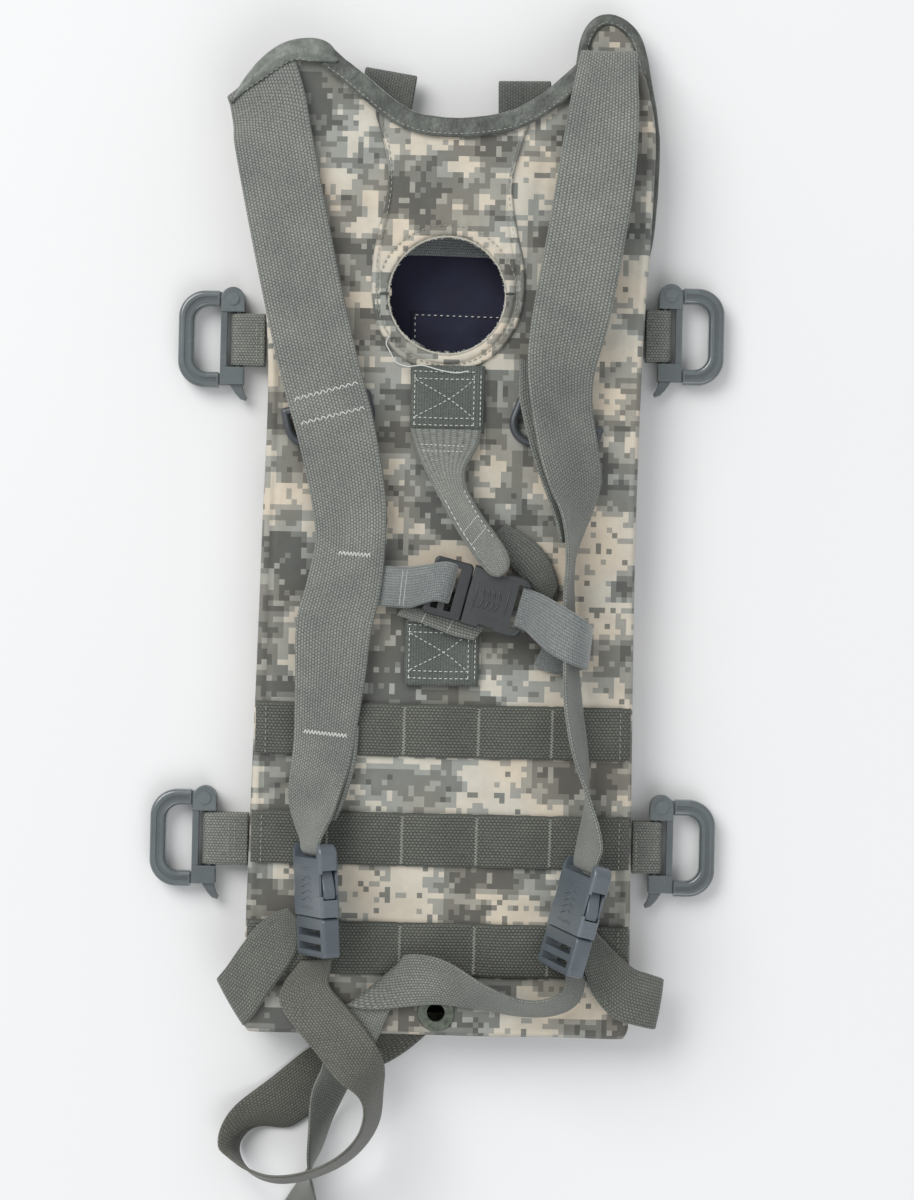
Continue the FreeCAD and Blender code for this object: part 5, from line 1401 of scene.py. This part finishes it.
# Each buckle's place, roll and heading in degrees, half width and half thickness.
BUCKLE_PLACES = {
    "left": ((-56.6, -178), -65.0, 3.5, 17.1, 4.8),
    "right": ((62.5, -183), -65.0, -14.5, 17.1, 4.8),
    "sternum": ((11, -25.5), 0.0, -104.0, 14.4, 4.0),
}


def make_ridges():
    """Raised chevrons between two bars on each buckle socket's face."""
    for name, ((x, y), roll, heading, half, thick) in BUCKLE_PLACES.items():
        turn = Matrix.Rotation(math.radians(heading), 3, "Z") @ Matrix.Rotation(math.radians(roll), 3, "Y")
        stand = half * abs(math.sin(math.radians(roll))) + thick * abs(math.cos(math.radians(roll)))
        rest = 6.2 if name == "sternum" else WEB + 0.3
        origin = Vector((x, y, ON_PACK + rest + stand))
        up = np.array(turn @ Vector((0, 0, 1)))
        scale = half / 17.1
        put = lambda a, b: np.array(origin + turn @ Vector((a, b * scale, thick - 0.05)))
        ridges = Thread(0.55)
        for k in range(4):
            for sign in (-1, 1):
                ridges.stitch(put(0.2 * sign, 9.6 + 3.1 * k), put(6.4 * sign * scale, 7.0 + 3.1 * k), up, 0.5)
        for b in (4.2, 22.4):
            ridges.stitch(put(-9.0 * scale, b), put(9.0 * scale, b), up, 0.42)
        body, plastic = (PACK_BODY, DARK_PLASTIC) if name == "sternum" else ("socket_" + name, BUCKLE_PLASTIC)
        ridges.build("buckle_ridges_" + name, body, plastic)


def make_hardware():
    """Materials for the CAD nodes whose shapes stay as they are."""
    looks = {"drain_grommet": EYELET_METAL, "grommet_washer": EYELET_METAL}
    for name in HOOKS:
        looks.update({f"hook_{part}_{name}": HOOK_PLASTIC for part in ("base", "bow", "latch")})
    for name in BUCKLE_PLACES:
        plastic = DARK_PLASTIC if name == "sternum" else BUCKLE_PLASTIC
        parts = (f"socket_{name}", f"plug_{name}", f"prong_{name}_a", f"prong_{name}_b")
        looks.update({"buckle_" + part: plastic for part in parts})
    for side in ("left", "right"):
        looks["strap_ring_" + side] = RING_PLASTIC
    for node, material in looks.items():
        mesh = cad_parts[node].data
        mesh.materials.clear()
        mesh.materials.append(material)


# ---------------------------------------------------------------- loose thread, floor and light

def make_loose_thread():
    """A loose end of thread lying below the port."""
    points = [(-29, 96.5, 31.6), (-30.5, 93, 31.8), (-28, 88, 31.6), (-25.5, 84, 31.4), (-20, 82, 33.6),
              (-13, 82.6, 34.4), (-5, 80.6, 34.2), (3, 79.4, 34.2), (9, 80.4, 34.2)]
    rows = even(dense(points), 0.8)
    ahead = unit(np.gradient(rows, axis=0))
    up = np.array([0, 0, 1.0])
    rings = [round_section(c, unit(np.cross(a, up)), up, 0.28, 6) for c, a in zip(rows, ahead)]
    finish_piece(tube_object("loose_thread", rings, np.arange(len(rows)) * 0.8), PACK_BODY, THREAD)


def make_studio():
    mesh = bpy.data.meshes.new("floor")
    half, z = 3.0, -0.0004
    corners = [(-half, -half, z), (half, -half, z), (half, half, z), (-half, half, z)]
    mesh.from_pydata(corners, [], [(0, 1, 2, 3)])
    floor = bpy.data.objects.new("floor", mesh)
    bpy.context.scene.collection.objects.link(floor)
    s = Shader("floor", roughness=0.9, specular=0.1)
    pale = [(0.3, (0.685, 0.688, 0.69)), (0.7, (0.70, 0.703, 0.705))]
    s.colour(s.ramp(s.noise(s.place(), 0.002, 2.0, 0.5), pale))
    floor.data.materials.append(s.material)
    def area(name, at, aim, size, power, colour=(1, 1, 1)):
        data = bpy.data.lights.new(name, "AREA")
        data.shape, data.size, data.energy, data.color = "DISK", size, power, colour
        lamp = bpy.data.objects.new(name, data)
        lamp.location = at
        lamp.rotation_euler = (Vector(aim) - Vector(at)).to_track_quat("-Z", "Y").to_euler()
        bpy.context.scene.collection.objects.link(lamp)
    area("key", (-2.2, 2.2, 3.2), (0.0, 0.0, 0.0), 3.2, 158.0, (1.0, 0.992, 0.975))
    area("fill", (1.2, -2.6, 3.0), (0.0, 0.0, 0.0), 3.0, 46.0, (0.96, 0.98, 1.0))
    world = bpy.data.worlds.new("studio")
    world.use_nodes = True
    sky = world.node_tree.nodes["Background"]
    sky.inputs[0].default_value = (0.97, 0.98, 1.0, 1.0)
    sky.inputs[1].default_value = 0.66
    bpy.context.scene.world = world
    bpy.context.scene.view_settings.view_transform = "Standard"


for make in (make_back_panel, make_front_panel, make_gusset, make_port_panel, make_neck, make_wing_cap,
             make_tube_loop, make_hangers, make_inside, make_rows, make_patches, make_handle,
             make_keepers, make_shoulders, make_sternum, make_anchors, make_tail_details, make_tabs,
             make_ridges, make_hardware, make_loose_thread, make_studio):
    make()
